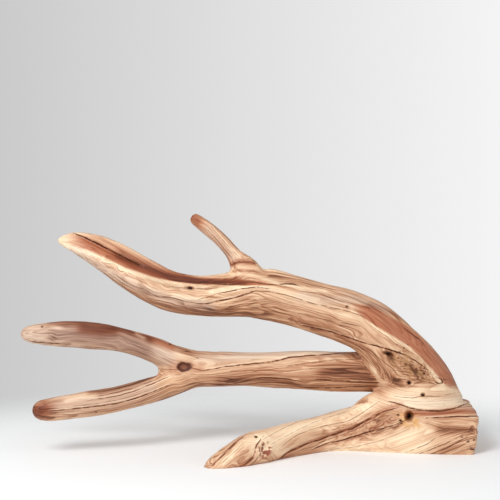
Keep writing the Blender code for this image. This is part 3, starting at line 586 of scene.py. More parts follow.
class Skin:
    """The points of the fused skin, each with its place on every limb and in the view."""

    SHARP = 14  # how sharply one limb's grain gives way to the next

    def __init__(self, points, wood, normals=None):
        self.points = points
        self.on = {name: limb.locate(points) for name, limb in wood.items()}
        shares = np.sort([place[2] for place in self.on.values()], axis=0)
        raw = {name: np.exp(-self.SHARP * (place[2] - shares[0])) for name, place in self.on.items()}
        total = sum(raw.values())
        self.weight = {name: value / total for name, value in raw.items()}
        off = points - SIGHT
        ahead = np.array([0, cos(SIGHT_DOWN), -sin(SIGHT_DOWN)])
        over = np.array([0, sin(SIGHT_DOWN), cos(SIGHT_DOWN)])
        scale = SIGHT_FAR / (off @ ahead) / PIXEL
        self.view = np.stack([VIEW_MIDDLE + off[:, 0] * scale, VIEW_MIDDLE - off @ over * scale], 1)
        if normals is None:
            normals = self.outward(wood)
        self.facing = -(normals * unit(off)).sum(1)
        self.near = np.clip(self.facing * 5 + 0.5, 0, 1)
        self.open = np.clip(abs(shares[1] - shares[0]) / HOLLOW, 0, 1)

    def outward(self, wood):
        """The way out from the spines, which stays even where the skin is carved."""
        out = np.zeros_like(self.points)
        for name, limb in wood.items():
            i = nearest(self.points, limb.middle)
            out += self.weight[name][:, None] * unit(self.points - limb.middle[i] + 1e-6)
        return unit(out + 1e-9)

    def place(self, limb, angle=None, level=False):
        """Where each point would lie if the limb were straight: across, over and along, in mm.

        Level grain hardly changes outwards near the skin, so pits and swellings don't break it.
        """
        along, here, share = self.on[limb.name]
        angle = here if angle is None else angle
        if level:
            share = np.minimum(share, DEEP_GRAIN) + 0.35 * np.clip(share - DEEP_GRAIN, 0, 0.5)
        radius = share * (limb.at(limb.rise, along) + limb.at(limb.reach, along)) / 2
        return np.stack([radius * np.cos(angle), radius * np.sin(angle), along - limb.middle[0, 0]], 1)

    def share_of(self, names):
        """How much of each point belongs to these limbs and faces the viewer."""
        return np.clip(sum(self.weight[name] for name in names), 0, 1) * self.near

    def beside(self, line):
        """Distance across a line in the view and past its ends, in mm, the share and run along it."""
        path = smooth_through(line, 10 * len(line))
        heading = unit(np.gradient(path, axis=0))
        length = np.concatenate([[0], np.cumsum(np.linalg.norm(np.diff(path, axis=0), axis=1))])
        i = nearest(self.view, path)
        off = self.view - path[i]
        across = (heading[i, 0] * off[:, 1] - heading[i, 1] * off[:, 0]) * PIXEL
        ahead = (heading[i] * off).sum(1) * PIXEL
        past = np.where((i == 0) | (i == len(path) - 1), abs(ahead), 0)
        return across, past, i / (len(path) - 1), length[i] * PIXEL + ahead

    def around(self, middle, half, turn):
        """Distance from a spot in the view, in shares of its turned half sizes."""
        off = (self.view - middle) * PIXEL
        c, s = cos(radians(turn)), sin(radians(turn))
        ahead, across = off[:, 0] * c + off[:, 1] * s, off[:, 1] * c - off[:, 0] * s
        return np.hypot(ahead / half[0], across / half[1])

    def around_far(self, limb, share, angle, half):
        """Distance from a spot on a limb, in shares of its half sizes along and across."""
        along, here, _ = self.on[limb.name]
        turned = (here - radians(angle) + pi) % (2 * pi) - pi
        radius = limb.at(limb.reach, along)
        return np.hypot((along - share * limb.length) / half[0], turned * radius / half[1])


def taper(share):
    return np.sin(pi * np.clip(share, 0.02, 0.98)) ** 0.4


def knot_height(distance, depth, swell):
    """A hole with a swollen rim, by distance in shares of the hole's half sizes."""
    return swell * bell((distance - 1.5) / 0.7) - depth * np.clip(1.25 - distance, 0, 1) ** 0.5


def streaks(grain, across, along, seed=0):
    """Noise stretched along the grain, by its size across and along in mm."""
    scaled = grain / (across, across, along) + seed
    return np.fromiter((noise.noise(row) for row in scaled.tolist()), float, len(grain))


def roughness(skin, wood):
    """How strongly each point is weathered: slender limbs and rounded tips are worn smoother."""
    rough = np.zeros(len(skin.points))
    for name, limb in wood.items():
        along = skin.on[name][0]
        stout = np.clip(limb.at(limb.rise, along) / 26, 0.35, 1)
        rough += skin.weight[name] * stout * (0.25 + 0.75 * ease((limb.length - along) / 30))
    return rough


def turned_share(skin):
    """How far each point lies inside the patches where the grain turns away."""
    return np.max([
        ease(3 * (1.15 - skin.around(middle, np.array(half) * PIXEL, turn)))
        for middle, half, turn, _ in PATCHES.values()
    ], axis=0)


def relief(skin, wood):
    """How far every point of the skin is moved out, in mm."""
    straight = sum(skin.weight[name][:, None] * skin.place(limb) for name, limb in wood.items())
    along, angle, _ = skin.on["arch"]
    smooth = np.clip(wood["arch"].dip(along, angle) / 2, 0, 1) * skin.weight["arch"]
    weathering = 2.2 * streaks(straight, 22, 150) + 0.3 - 2 * abs(streaks(straight, 8, 75))
    height = weathering * (1 - 0.8 * smooth) * (0.3 + 0.7 * skin.open)
    height += (0.35 - 1.1 * abs(streaks(straight, 3.2, 40, 7.3))) * (1 - 0.9 * smooth) * skin.open
    height *= roughness(skin, wood) * (1 - 0.85 * turned_share(skin) * skin.near)
    for names, half, rise, line in FURROWS:
        across, past, share, _ = skin.beside(line)
        height += rise * taper(share) * bell(across / half) * bell(past / half) * skin.share_of(names)
    for names, wide, rise, line in FOLDS:
        across, past, share, _ = skin.beside(line)
        step = np.exp(-abs(across) / wide) / (1 + np.exp(np.clip(-across * 2, -30, 30)))
        height += rise * taper(share) * step * bell(past / wide) * skin.share_of(names)
    for name, half, dark, line in GRAIN:
        across, past, share, _ = skin.beside(line)
        names = ("arch", "foot", "shoulder") if name in PATCHES else (name,)
        groove = bell(across / (half + 0.5)) * bell(past / 3) * skin.share_of(names)
        height -= dark * (0.5 + half) * 0.5 * taper(share) * groove
    for names, middle, half, turn, depth, swell in KNOTS:
        height += knot_height(skin.around(middle, half, turn), depth, swell) * skin.share_of(names)
    for name, share, angle, half, depth, swell in FAR_KNOTS:
        distance = skin.around_far(wood[name], share, angle, half)
        height += knot_height(distance, depth, swell) * skin.weight[name]
    patch = np.clip(1.3 - skin.around(*ROUGH_PATCH), 0, 1) * skin.share_of(("arch",))
    return height + patch * (2.5 * streaks(straight, 5, 14) - 1.5)


def carve(body, wood):
    """Moves the skin out or in by its relief."""
    normals = mesh_normals(body.data)
    points = mesh_points(body.data) / MM
    skin = Skin(points, wood, normals)
    points += normals * relief(skin, wood)[:, None]
    body.data.vertices.foreach_set("co", ((points - DRAWING_MIDDLE) * MM).astype(np.float32).ravel())
    body.data.update()


def cut_flat(mesh):
    """Cuts the underside off level with the ground and closes the cut."""
    bm = bmesh.new()
    bm.from_mesh(mesh)
    bmesh.ops.bisect_plane(
        bm, geom=bm.verts[:] + bm.edges[:] + bm.faces[:], dist=0.05 * MM,
        plane_co=(0, 0, 0), plane_no=(0, 0, -1), clear_outer=True,
    )
    rim = [edge for edge in bm.edges if edge.is_boundary]
    bmesh.ops.triangle_fill(bm, use_beauty=True, edges=rim, normal=(0, 0, -1))
    bmesh.ops.recalc_face_normals(bm, faces=bm.faces)
    bm.to_mesh(mesh)
    bm.free()


def patch_shares(skin):
    """Turns the grain over to the foot below the ridge, and to the patches where it turns away."""
    across, _, _, _ = skin.beside(BASE_TOP)
    low = ease(across / 3 + 0.5) * ease((skin.view[:, 0] - 320) / 20) * skin.near
    for name in ("arch", "shoulder"):
        skin.weight["foot"] = skin.weight["foot"] + skin.weight[name] * low
        skin.weight[name] = skin.weight[name] * (1 - low)
    root = ease(skin.beside(TWIG_FOOT)[0] / 3 + 0.5)
    skin.weight["arch"] = skin.weight["arch"] + skin.weight["twig"] * root
    skin.weight["twig"] = skin.weight["twig"] * (1 - root)
    for name, (middle, half, turn, _) in PATCHES.items():
        within = ease(3 * (1.15 - skin.around(middle, np.array(half) * PIXEL, turn)))
        within = within * np.clip(2 * skin.share_of(("arch", "foot", "shoulder")), 0, 1)
        within = within * ease(skin.on["foot"][0] / 6)  # the sawn end keeps its own grain
        for other in skin.weight:
            skin.weight[other] = skin.weight[other] * (1 - within)
        skin.weight[name] = within


def guided_angle(skin, limb):
    """The angle round the limb, eased so that each traced line keeps to one angle."""
    along, angle, _ = skin.on[limb.name]
    seen = np.flatnonzero((skin.weight[limb.name] > 0.3) & (skin.near > 0.5))
    push, total = np.zeros_like(angle), np.zeros_like(angle)
    for name, _, _, line in GRAIN:
        if name != limb.name or not len(seen):
            continue
        marks = smooth_through(line, 12)
        spots = [((skin.view[seen] - mark) ** 2).sum(1).argmin() for mark in marks]
        angles = angle[seen[spots]]
        shift = np.clip(angles.mean() - angles, -0.7, 0.7)
        across, past, share, _ = skin.beside(line)
        weight = bell(across / GUIDE) * bell(past / (1.5 * GUIDE)) * skin.near
        push += weight * np.interp(share, np.linspace(0, 1, len(marks)), shift)
        total += weight
    return angle + push / np.maximum(total, 1)


def grain_layers(skin, wood):
    """For each layer, the straightened place of every point in metres, and the layer's share."""
    places = {name: skin.place(limb, guided_angle(skin, limb), level=True) for name, limb in wood.items()}
    for name, (_, _, _, line) in PATCHES.items():
        across, _, _, run = skin.beside(line)
        start = (line[0][0] - VIEW_MIDDLE) * PIXEL
        places[name] = np.stack([across, np.full_like(across, 25.0), -start - run], 1)
    layers = []
    for names in LAYERS:
        strongest = np.argmax([skin.weight[name] for name in names], axis=0)
        stacked = np.stack([places[name] for name in names])
        share = sum(skin.weight[name] for name in names)
        layers.append((stacked[strongest, np.arange(len(strongest))] * MM, share))
    return layers


def line_channels():
    """The channel of every traced line, so that two lines of one channel are never close."""
    paths = [smooth_through(line, 5 * len(line)) for _, _, _, line in GRAIN]
    channels = []
    for index, path in enumerate(paths):
        room = np.full(LINE_CHANNELS, 1e6)
        for other, channel in enumerate(channels):
            gap = np.sqrt(((path[:, None] - paths[other][None]) ** 2).sum(2)).min()
            room[channel] = min(room[channel], gap)
        clear = np.flatnonzero(room > LINE_GAP)
        channels.append(int(clear[0]) if len(clear) else int(room.argmax()))
    return channels


def traced_lines(skin):
    """For each channel, the distance across its nearest line in half widths, and its darkness."""
    count = len(skin.points)
    best = np.full((LINE_CHANNELS, count), FAR_AWAY)
    across_of = np.full((LINE_CHANNELS, count), LINE_LIMIT)
    dark_of = np.zeros((LINE_CHANNELS, count))
    for channel, (name, half, dark, line) in zip(line_channels(), GRAIN):
        across, past, share, _ = skin.beside(line)
        wide = half * (0.4 + 0.6 * taper(share))
        side = np.where(across < 0, -1, 1)
        shares = side * np.hypot(across, past * 0.6) / wide
        names = {name, "collar", "block"} | ({"arch", "foot", "shoulder"} if name in PATCHES else set())
        strength = dark * np.clip(2 * skin.share_of(names), 0, 1)
        if np.ptp(line, axis=0).sum() < SHORT_LINE:
            # A short mark gets no painted highlight on a lip beside it.
            strength = -strength  # a short mark has no pale lip
        distance = np.hypot(across, past)
        nearer = distance < best[channel]
        best[channel][nearer] = distance[nearer]
        across_of[channel][nearer] = np.clip(shares, -LINE_LIMIT, LINE_LIMIT)[nearer]
        fade = np.clip(2 - abs(shares) / 5, 0, 1)
        dark_of[channel][nearer] = (strength * fade)[nearer]
    return across_of, dark_of


def tints(skin, wood):
    """Red heartwood, cream sapwood with painted highlight, painted shade with darker wood, and silver at every point.
    """
    made = np.zeros((len(skin.points), 4))
    for tint, names, half, strength, line in STAINS:
        across, past, _, _ = skin.beside(line)
        stroke = strength * bell(across / half) * bell(past / half) * skin.share_of(set(names) | set(PATCHES))
        if tint == CREAM_AND_HIGHLIGHT:
            made[:, RED] *= 1 - 0.75 * stroke
        made[:, tint] = 1 - (1 - made[:, tint]) * (1 - stroke)
    straight = sum(skin.weight[name][:, None] * skin.place(limb) for name, limb in wood.items())
    broad = 5 * streaks(straight, 24, 260, 3.1) * (1 - skin.near)
    made[:, RED] = np.maximum(made[:, RED], 0.75 * ease(broad - 0.3))
    made[:, CREAM_AND_HIGHLIGHT] = np.maximum(made[:, CREAM_AND_HIGHLIGHT], 0.8 * ease(-broad - 0.2))
    along, angle, _ = skin.on["arch"]
    owned, right = skin.weight["arch"], skin.view[:, 0]
    across, depth = wood["arch"].across_hollow(TROUGH, along, angle)
    strip = ease(skin.beside(TROUGH_TOP)[0] / 5 + 0.5) * ease(0.5 - skin.beside(TROUGH_RIM)[0] / 3)
    strip = strip * ease((280 - right) / 22)
    hidden = ease(across * 8) * ease((1 - across) * 12) * ease(depth / 3)
    inside = (hidden + (strip * ease(depth) - hidden) * skin.near) * owned
    split = skin.beside(TROUGH_SPLIT)[0]
    below = ease(split / 3 + 0.5)
    above = (0.3 + 0.45 * ease((right - 85) / 40)) * bell(split / 15)
    # The lip is cream on the trough's rims: sapwood, and painted highlight along the edge.
    lip = bell((across + 0.01) * 13) * (1 - skin.near) + 0.8 * bell((across - 1) * 14)
    fill(made, inside, RED, ease((right - 60) / 30) * (below + (1 - below) * above))
    made[:, CREAM_AND_HIGHLIGHT] = np.maximum(made[:, CREAM_AND_HIGHLIGHT], 0.95 * lip * ease(depth / 3) * owned)
    made[:, CREAM_AND_HIGHLIGHT] = np.maximum(made[:, CREAM_AND_HIGHLIGHT], inside * (1 - ease((right - 60) / 30)))
    # Painted shade in the trough's deepest part.
    deep, past, _, _ = skin.beside(TROUGH_DEEP)
    made[:, SHADE_AND_DARKER_WOOD] = np.maximum(made[:, SHADE_AND_DARKER_WOOD], bell(deep / 7) * bell(past / 12) * inside * skin.near)
    band = ease(skin.beside(FACET_TOP)[0] / 3 + 0.5) * ease(0.5 - skin.beside(FACET_FOOT)[0] / 2)
    band = band * ease((right - 346) / 22) * bell(skin.beside(FACET_FOOT)[1] / 6) * owned * skin.near
    fill(made, band, RED, 0.95)
    return made


def fill(made, share, tint, strength):
    """Replaces the tints by one of them over a share of the points."""
    made *= 1 - share[:, None]
    made[:, tint] += share * strength


def marks(skin, wood):
    """Distances from holes and ring knots, in shares of their size, and the other marks' shares."""
    hole = np.full(len(skin.points), 4.0)
    patches = {"collar", "block"}
    for names, middle, half, turn, depth, _ in KNOTS:
        distance = skin.around(middle, half, turn)
        distance += 4 * (1 - np.clip(2 * skin.share_of(set(names) | patches), 0, 1))
        if depth > 2:
            hole = np.minimum(hole, 1.5 * distance)
    for middle, size in DOTS:
        hole = np.minimum(hole, skin.around(middle, (size * 1.3, size), 0) + 4 * (1 - skin.near))
    for name, share, angle, half, depth, _ in FAR_KNOTS:
        distance = skin.around_far(wood[name], share, angle, half) + 4 * (1 - skin.weight[name])
        hole = np.minimum(hole, distance)
    rough = ease(1.4 - skin.around(*ROUGH_PATCH)) * skin.share_of(("arch", "collar"))
    stain = ease(1.6 - skin.around(*YELLOW_STAIN)) * skin.near
    ring = skin.around(*RING_KNOT) + 4 * (1 - skin.share_of(("middle", "upper_prong", "lower_prong")))
    speckled = ease(2.2 - 1.6 * skin.around(*FOOT_KNOT)) * skin.share_of(("foot",))
    return [hole, rough, stain], [ring, speckled]


def store(mesh, name, values, kind="FLOAT_VECTOR"):
    """Keeps a value per vertex on the mesh, for its material to read."""
    made = mesh.attributes.new(name, kind, "POINT")
    made.data.foreach_set("vector", np.ascontiguousarray(values, np.float32).ravel())


def store_finish(body, wood):
    """Everything the material reads: grain, layer shares, traced lines, tints and marks."""
    skin = Skin(mesh_points(body.data) / MM + DRAWING_MIDDLE, wood)
    straight = sum(skin.weight[name][:, None] * skin.place(limb) for name, limb in wood.items())
    # The marks reach past the outline and end raggedly behind it, along the grain.
    skin.near = ease(2.2 * skin.facing + 1 + 1.6 * streaks(straight, 9, 70, 5.7))
    patch_shares(skin)
    layers = grain_layers(skin, wood)
    for index, (place, _) in enumerate(layers):
        store(body.data, f"grain_{index + 1}", place)
    store(body.data, "layer_share", np.stack([share for _, share in layers], 1))
    across, dark = traced_lines(skin)
    for index in (0, 1):
        rows = slice(3 * index, 3 * index + 3)
        store(body.data, f"line_across_{index + 1}", across[rows].T)
        store(body.data, f"line_dark_{index + 1}", dark[rows].T)
    tint = tints(skin, wood)
    first, second = marks(skin, wood)
    # The tint holds red heartwood, cream sapwood with painted highlight, and painted shade.
    store(body.data, "tint", tint[:, :3])
    store(body.data, "mark_1", np.stack(first, 1))
    store(body.data, "mark_2", np.stack([*second, tint[:, SILVER]], 1))


def add(tree, kind, inputs=None, **settings):
    """A node with its inputs set to values or linked to sockets."""
    made = tree.nodes.new(kind)
    for name, value in settings.items():
        setattr(made, name, value)
    for name, value in (inputs or {}).items():
        if isinstance(value, bpy.types.NodeSocket):
            tree.links.new(value, made.inputs[name])
        else:
            made.inputs[name].default_value = value
    return made


def maths(tree, operation, *values, clamp=False):
    made = add(tree, "ShaderNodeMath", dict(enumerate(values)), operation=operation, use_clamp=clamp)
    return made.outputs[0]


def between(tree, value, low, high, to_low=0.0, to_high=1.0):
    """The value eased from one range to another."""
    inputs = {"Value": value, "From Min": low, "From Max": high, "To Min": to_low, "To Max": to_high}
    return add(tree, "ShaderNodeMapRange", inputs, interpolation_type="SMOOTHSTEP").outputs[0]


def blended(tree, share, first, second, blend="MIX"):
    inputs = {0: share, 6: first, 7: second}
    return add(tree, "ShaderNodeMix", inputs, data_type="RGBA", blend_type=blend).outputs[2]


def ramp(tree, value, stops):
    made = add(tree, "ShaderNodeValToRGB", {0: value})
    points = made.color_ramp.elements
    while len(points) < len(stops):
        points.new(0.5)
    for point, (place, colour) in zip(points, stops):
        point.position = place
        point.color = paint(colour)
    return made.outputs[0]


def paint(colour):
    """A colour as seen, 0 to 255, as the shader takes it."""
    return (*[((c / 255 + 0.055) / 1.055) ** 2.4 if c > 10 else c / 255 / 12.92 for c in colour], 1)


def parts_of(tree, vector):
    made = add(tree, "ShaderNodeSeparateXYZ", {0: vector})
    return made.outputs[:]


def stored(tree, name):
    made = add(tree, "ShaderNodeAttribute", attribute_type="GEOMETRY", attribute_name=name)
    return made.outputs["Vector"]


def new_group(name, inputs, outputs):
    tree = bpy.data.node_groups.new(name, "ShaderNodeTree")
    for socket, kind in inputs:
        tree.interface.new_socket(socket, in_out="INPUT", socket_type=kind)
    for socket, kind in outputs:
        tree.interface.new_socket(socket, in_out="OUTPUT", socket_type=kind)
    return tree, add(tree, "NodeGroupInput").outputs, add(tree, "NodeGroupOutput").inputs


def grain_noise(tree, place, across, along, detail=2.0, rough=0.55, twist=0.0):
    """Noise stretched along the grain, by its size across and along in mm, about 0 to 1."""
    size = (1 / (across * MM), 1 / (across * MM), 1 / (along * MM))
    scaled = add(tree, "ShaderNodeVectorMath", {0: place, 1: size}, operation="MULTIPLY").outputs[0]
    inputs = {"Vector": scaled, "Scale": 1.0, "Detail": detail, "Roughness": rough, "Distortion": twist}
    return add(tree, "ShaderNodeTexNoise", inputs).outputs[0]


def wood_grain_group():
    """Tone, growth lines, fibre and short checks from a straightened place in the wood."""
    names = ("Tone", "Line", "Fibre", "Check")
    tree, given, result = new_group(
        "wood grain", [("Place", "NodeSocketVector")], [(name, "NodeSocketFloat") for name in names]
    )
    place = given["Place"]
    broad = grain_noise(tree, place, 26, 380, 1.0)
    streak = grain_noise(tree, place, 5.0, 200, 2.0, 0.5)
    thin = grain_noise(tree, place, 2.0, 110, 1.0, 0.5)
    tone = maths(tree, "MULTIPLY_ADD", streak, 0.45, maths(tree, "MULTIPLY", broad, 0.3))
    tone = maths(tree, "MULTIPLY_ADD", thin, 0.25, tone)
    fine = grain_noise(tree, place, 1.3, 60, 1.0, 0.5)
    rings = grain_noise(tree, place, 17, 420, 1.0, 0.4)
    turn = maths(tree, "FRACT", maths(tree, "MULTIPLY", rings, 17.0))
    late = maths(tree, "MULTIPLY", between(tree, turn, 0.35, 0.9), between(tree, turn, 1.0, 0.92))
    where = between(tree, grain_noise(tree, place, 12, 120, 1.0), 0.38, 0.62)
    line = maths(tree, "MULTIPLY", late, maths(tree, "MULTIPLY_ADD", where, 0.8, 0.2))
    dash = between(tree, grain_noise(tree, place, 2.4, 34, 1.0), 0.63, 0.72)
    check = maths(tree, "MULTIPLY", dash, between(tree, grain_noise(tree, place, 22, 90, 1.0), 0.5, 0.62))
    for name, socket in zip(names, (tone, line, fine, check)):
        tree.links.new(socket, result[name])
    return tree


def crack_group():
    """A dark line and the painted highlight on the pale lip beside it, from the distance across in half widths."""
    tree, given, result = new_group(
        "crack", [("Across", "NodeSocketFloat"), ("Dark", "NodeSocketFloat"), ("Waver", "NodeSocketFloat")],
        [("Crack", "NodeSocketFloat"), ("Lip Highlight", "NodeSocketFloat")],
    )
    across = maths(tree, "ADD", given["Across"], given["Waver"])
    strength = maths(tree, "ABSOLUTE", given["Dark"])
    crack = maths(tree, "MULTIPLY", between(tree, maths(tree, "ABSOLUTE", across), 1.8, 0.3), strength)
    beside = maths(tree, "ABSOLUTE", maths(tree, "ADD", across, 3.2))
    lip = maths(tree, "MULTIPLY", between(tree, beside, 2.6, 0.3), maths(tree, "MAXIMUM", given["Dark"], 0.0))
    tree.links.new(crack, result["Crack"])
    tree.links.new(lip, result["Lip Highlight"])
    return tree


WOOD = (
    (0.0, (255, 233, 200)), (0.22, (240, 209, 175)), (0.45, (217, 175, 141)),
    (0.65, (188, 139, 106)), (0.82, (152, 101, 72)), (1.0, (96, 58, 39)),
)
HEART = ((0.0, (204, 142, 108)), (0.4, (174, 104, 73)), (0.7, (134, 70, 45)), (1.0, (82, 40, 25)))
SHEEN = 0.25
BROWN = (116, 66, 38)
CRACK = (64, 28, 12)
# Painted shade: near-black in the knot holes and pits, brown round their rims.
HOLE_SHADE = (32, 13, 6)
HOLE_EDGE_SHADE = (106, 60, 36)
STAIN = (226, 170, 98)
ERODED = (172, 128, 82)
KNOT_HEART = (116, 64, 44)
KNOT_RING = (80, 36, 18)
KNOT_RED = (140, 58, 36)


def weathered_wood():
    """Polished driftwood: flowing grain, red heartwood, cream sapwood, cracks and knot holes, with painted highlights
    and painted shade in its colour.
    """
    material = bpy.data.materials.new("weathered wood")
    material.use_nodes = True
    tree = material.node_tree
    grain, crack = wood_grain_group(), crack_group()
    totals = {"Tone": 0.0, "Line": 0.0, "Fibre": 0.0, "Check": 0.0}
    for index, share in enumerate(parts_of(tree, stored(tree, "layer_share"))):
        layer = add(tree, "ShaderNodeGroup", node_tree=grain)
        tree.links.new(stored(tree, f"grain_{index + 1}"), layer.inputs["Place"])
        for name, total in totals.items():
            totals[name] = maths(tree, "MULTIPLY_ADD", layer.outputs[name], share, total)
    tone, line, fibre, check = totals.values()
    red, cream_and_highlight, shade_and_darker_wood = parts_of(tree, stored(tree, "tint"))
    hole_gap, rough, stain = parts_of(tree, stored(tree, "mark_1"))
    ring_gap, speckled, silver = parts_of(tree, stored(tree, "mark_2"))

    line = maths(tree, "MULTIPLY", line, maths(tree, "MULTIPLY_ADD", rough, -0.5, 1.0))
    check = maths(tree, "MULTIPLY", check, maths(tree, "SUBTRACT", 1.0, maths(tree, "MAXIMUM", cream_and_highlight, silver)))

    where = add(tree, "ShaderNodeTexCoord").outputs["Object"]
    speckle = add(tree, "ShaderNodeTexNoise", {"Vector": where, "Scale": 230.0, "Detail": 1.0}).outputs[0]
    mottle = add(tree, "ShaderNodeTexNoise", {"Vector": where, "Scale": 110.0, "Detail": 3.0}).outputs[0]
    bends = add(tree, "ShaderNodeTexNoise", {"Vector": where, "Scale": 75.0, "Detail": 2.0}).outputs[0]
    waver = maths(tree, "MULTIPLY", maths(tree, "SUBTRACT", bends, 0.5), 3.0)
    cracks = lip_highlights = 0.0
    for index in (1, 2):
        across = parts_of(tree, stored(tree, f"line_across_{index}"))
        dark = parts_of(tree, stored(tree, f"line_dark_{index}"))
        for gap, strength in zip(across, dark):
            one = add(tree, "ShaderNodeGroup", node_tree=crack)
            for name, socket in (("Across", gap), ("Dark", strength), ("Waver", waver)):
                tree.links.new(socket, one.inputs[name])
            cracks = maths(tree, "MAXIMUM", one.outputs["Crack"], cracks)
            lip_highlights = maths(tree, "MAXIMUM", one.outputs["Lip Highlight"], lip_highlights)
    cracks = maths(tree, "MULTIPLY", cracks, between(tree, mottle, 0.34, 0.52, 0.35, 1.0))

    change = maths(tree, "MULTIPLY_ADD", maths(tree, "SUBTRACT", tone, 0.5), 1.9, 0.0)
    change = maths(tree, "MULTIPLY_ADD", line, 0.28, change)
    change = maths(tree, "MULTIPLY_ADD", maths(tree, "SUBTRACT", fibre, 0.5), 0.6, change)
    calm = maths(tree, "MULTIPLY_ADD", maths(tree, "MAXIMUM", cream_and_highlight, silver), -0.5, 1.0)
    change = maths(tree, "MULTIPLY", change, calm)
    # Painted highlight, in the cream tint and on the lips beside cracks, makes the wood paler; painted shade makes it
    # darker.
    depth = maths(tree, "MULTIPLY_ADD", cream_and_highlight, -0.34, maths(tree, "ADD", change, 0.48))
    depth = maths(tree, "MULTIPLY_ADD", shade_and_darker_wood, 0.4, depth)
    depth = maths(tree, "MULTIPLY_ADD", lip_highlights, -0.16, depth)
    pits = maths(tree, "MULTIPLY", rough, between(tree, mottle, 0.5, 0.66))
    depth = maths(tree, "MULTIPLY_ADD", pits, 0.55, depth, clamp=True)
    heart_depth = maths(tree, "MULTIPLY_ADD", change, 0.55, 0.36)
    # Painted shade darkens the heartwood too.
    heart_depth = maths(tree, "MULTIPLY_ADD", shade_and_darker_wood, 0.5, heart_depth, clamp=True)
    colour = blended(tree, red, ramp(tree, depth, WOOD), ramp(tree, heart_depth, HEART))
    silver = maths(tree, "MULTIPLY", silver, maths(tree, "SUBTRACT", 1.0, red))
    aged = {"Saturation": maths(tree, "MULTIPLY_ADD", silver, -0.28, 1.0), "Color": colour}
    aged["Value"] = maths(tree, "MULTIPLY_ADD", silver, -0.1, 1.0)
    colour = add(tree, "ShaderNodeHueSaturation", aged).outputs[0]
    eroded = maths(tree, "MULTIPLY", rough, between(tree, bends, 0.38, 0.6, 0.1, 0.6))
    colour = blended(tree, maths(tree, "MULTIPLY", eroded, maths(tree, "SUBTRACT", 1.0, pits)), colour, paint(ERODED))
    stained = maths(tree, "MULTIPLY", stain, between(tree, mottle, 0.42, 0.6))
    colour = blended(tree, maths(tree, "MULTIPLY", stained, 0.7), colour, paint(STAIN))

    ring_gap = maths(tree, "MULTIPLY_ADD", maths(tree, "SUBTRACT", mottle, 0.5), 0.7, ring_gap)
    centre = maths(tree, "MULTIPLY", between(tree, ring_gap, 1.0, 0.8), 0.9)
    colour = blended(tree, centre, colour, paint(KNOT_HEART))
    rim = maths(tree, "ABSOLUTE", maths(tree, "SUBTRACT", ring_gap, 0.7))
    colour = blended(tree, between(tree, rim, 0.42, 0.1, 0.0, 0.9), colour, paint(KNOT_RING))
    spots = maths(tree, "MULTIPLY", speckled, between(tree, speckle, 0.46, 0.52, 0.0, 0.9))
    colour = blended(tree, spots, colour, paint(KNOT_RED))

    colour = blended(tree, maths(tree, "MULTIPLY", check, 0.6), colour, paint(BROWN))
    colour = blended(tree, between(tree, cracks, 0.0, 0.75), colour, paint(BROWN))
    colour = blended(tree, between(tree, cracks, 0.6, 1.0), colour, paint(CRACK))
    # Painted shade in and round the knot holes and pits.
    hole_edge = maths(tree, "MULTIPLY_ADD", maths(tree, "SUBTRACT", mottle, 0.5), 0.8, hole_gap)
    ring = maths(tree, "MULTIPLY", between(tree, hole_edge, 1.75, 1.0), 0.75)
    colour = blended(tree, ring, colour, paint(HOLE_EDGE_SHADE))
    hole = between(tree, hole_edge, 1.0, 0.65)
    colour = blended(tree, hole, colour, paint(HOLE_SHADE))

    finish = tree.nodes["Principled BSDF"]
    finish.inputs["Specular IOR Level"].default_value = SHEEN
    tree.links.new(colour, finish.inputs["Base Color"])
    gloss = maths(tree, "MULTIPLY_ADD", fibre, 0.25, 0.42)
    gloss = maths(tree, "MULTIPLY_ADD", red, -0.08, gloss)
    gloss = maths(tree, "MAXIMUM", gloss, maths(tree, "MULTIPLY", maths(tree, "MAXIMUM", cracks, hole), 0.85))
    tree.links.new(gloss, finish.inputs["Roughness"])
    height = maths(tree, "MULTIPLY_ADD", line, -0.35, maths(tree, "MULTIPLY", fibre, 0.3))
    height = maths(tree, "MULTIPLY_ADD", cracks, -1.0, height)
    height = maths(tree, "MULTIPLY_ADD", check, -0.6, height)
    height = maths(tree, "MULTIPLY_ADD", pits, -0.6, height)
    bump = add(tree, "ShaderNodeBump", {"Height": height, "Strength": 0.5, "Distance": 0.8 * MM})
    tree.links.new(bump.outputs[0], finish.inputs["Normal"])
    return material


def driftwood():
    """The whole piece, carved and thinned, with its finish stored on its skin."""
    wood = limbs()
    body = fused_body("weathered_driftwood", wood)
    ease_junctions(body, wood)
    carve(body, wood)
    thin = body.modifiers.new("thin", "DECIMATE")
    thin.ratio = TRIANGLES / (2 * len(body.data.polygons))
    cut_flat(apply_modifiers(body))
    store_finish(body, wood)
    body.data.materials.append(weathered_wood())
    body.data.shade_smooth()
    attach(body, "root")
    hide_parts("driftwood")
    return body


def plain(name, colour, roughness):
    material = bpy.data.materials.new(name)
    material.use_nodes = True
    finish = material.node_tree.nodes["Principled BSDF"].inputs
    finish["Base Color"].default_value = paint(colour)
    finish["Roughness"].default_value = roughness
    return material


FLOOR_MIDDLE = (0.0, -0.55)
FLOOR_RADIUS = 1.1
FLOOR_FADE = (0.76, 1.08)


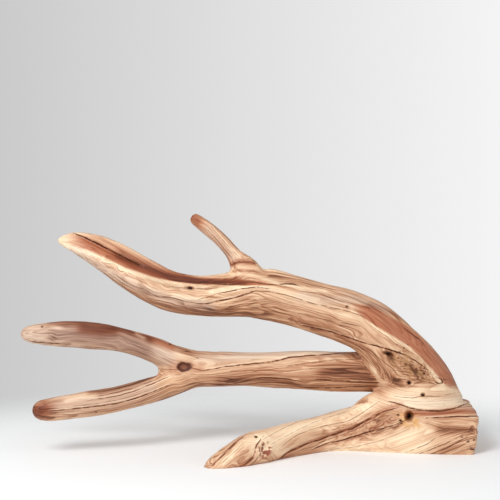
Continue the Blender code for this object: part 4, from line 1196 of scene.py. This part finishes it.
def floor():
    """A plain pale disc that fades out at its edge."""
    bm = bmesh.new()
    bmesh.ops.create_circle(bm, cap_ends=True, radius=FLOOR_RADIUS, segments=96)
    bmesh.ops.translate(bm, verts=bm.verts, vec=(*FLOOR_MIDDLE, 0))
    mesh = bpy.data.meshes.new("floor")
    bm.to_mesh(mesh)
    bm.free()
    made = bpy.data.objects.new("floor", mesh)
    bpy.context.collection.objects.link(made)
    material = plain("pale floor", (252, 254, 255), 0.7)
    tree = material.node_tree
    where = add(tree, "ShaderNodeTexCoord").outputs["Object"]
    off = add(tree, "ShaderNodeVectorMath", {0: where, 1: (*FLOOR_MIDDLE, 0)}, operation="DISTANCE").outputs["Value"]
    tree.links.new(between(tree, off, FLOOR_FADE[1], FLOOR_FADE[0]), tree.nodes["Principled BSDF"].inputs["Alpha"])
    mesh.materials.append(material)


def lamp(name, direction, distance, size, power):
    """A soft square light that faces the middle of the wood."""
    target = Vector((0, 0, 0.15))
    light = bpy.data.lights.new(name, "AREA")
    light.shape, light.size, light.energy = "SQUARE", size, power
    made = bpy.data.objects.new(name, light)
    towards = Vector(direction).normalized()
    made.location = target + towards * distance
    made.rotation_euler = towards.to_track_quat("Z", "Y").to_euler()
    bpy.context.collection.objects.link(made)


ROOM_SHOWN = 0.75
ROOM_LIGHT = 0.5
ROOM_SLOPE = 1.0  # how much lighter the room looks to the right, per unit of direction


def room():
    """An even soft room, seen as a pale backdrop that is a little lighter to the right."""
    world = bpy.data.worlds.new("room")
    bpy.context.scene.world = world
    world.use_nodes = True
    tree = world.node_tree
    towards = parts_of(tree, add(tree, "ShaderNodeTexCoord").outputs["Generated"])
    shown = maths(tree, "MULTIPLY_ADD", towards[0], ROOM_SLOPE, ROOM_SHOWN)
    shown = maths(tree, "MINIMUM", maths(tree, "MAXIMUM", shown, 0.58), 0.92)
    seen = add(tree, "ShaderNodeLightPath").outputs["Is Camera Ray"]
    level = add(tree, "ShaderNodeMix", {0: seen, 2: ROOM_LIGHT, 3: shown}).outputs[0]
    background = tree.nodes["Background"]
    background.inputs["Color"].default_value = (1, 1, 1, 1)
    tree.links.new(level, background.inputs["Strength"])


def studio():
    """Soft light from the front left above, and the camera."""
    scene = bpy.context.scene
    lamp("key", (-0.41, -0.70, 0.62), 2.2, 0.9, 34)
    lamp("fill", (0.8, -0.5, 0.5), 2.4, 1.6, 7)
    view = bpy.data.objects.new("camera", bpy.data.cameras.new("camera"))
    view.data.lens, view.data.sensor_width = 113.14, 36
    view.location = Vector(SIGHT - DRAWING_MIDDLE) * MM
    view.rotation_euler = (radians(85), 0, 0)
    bpy.context.collection.objects.link(view)
    scene.camera = view
    scene.view_settings.view_transform = "Standard"


room()
studio()
floor()
driftwood()
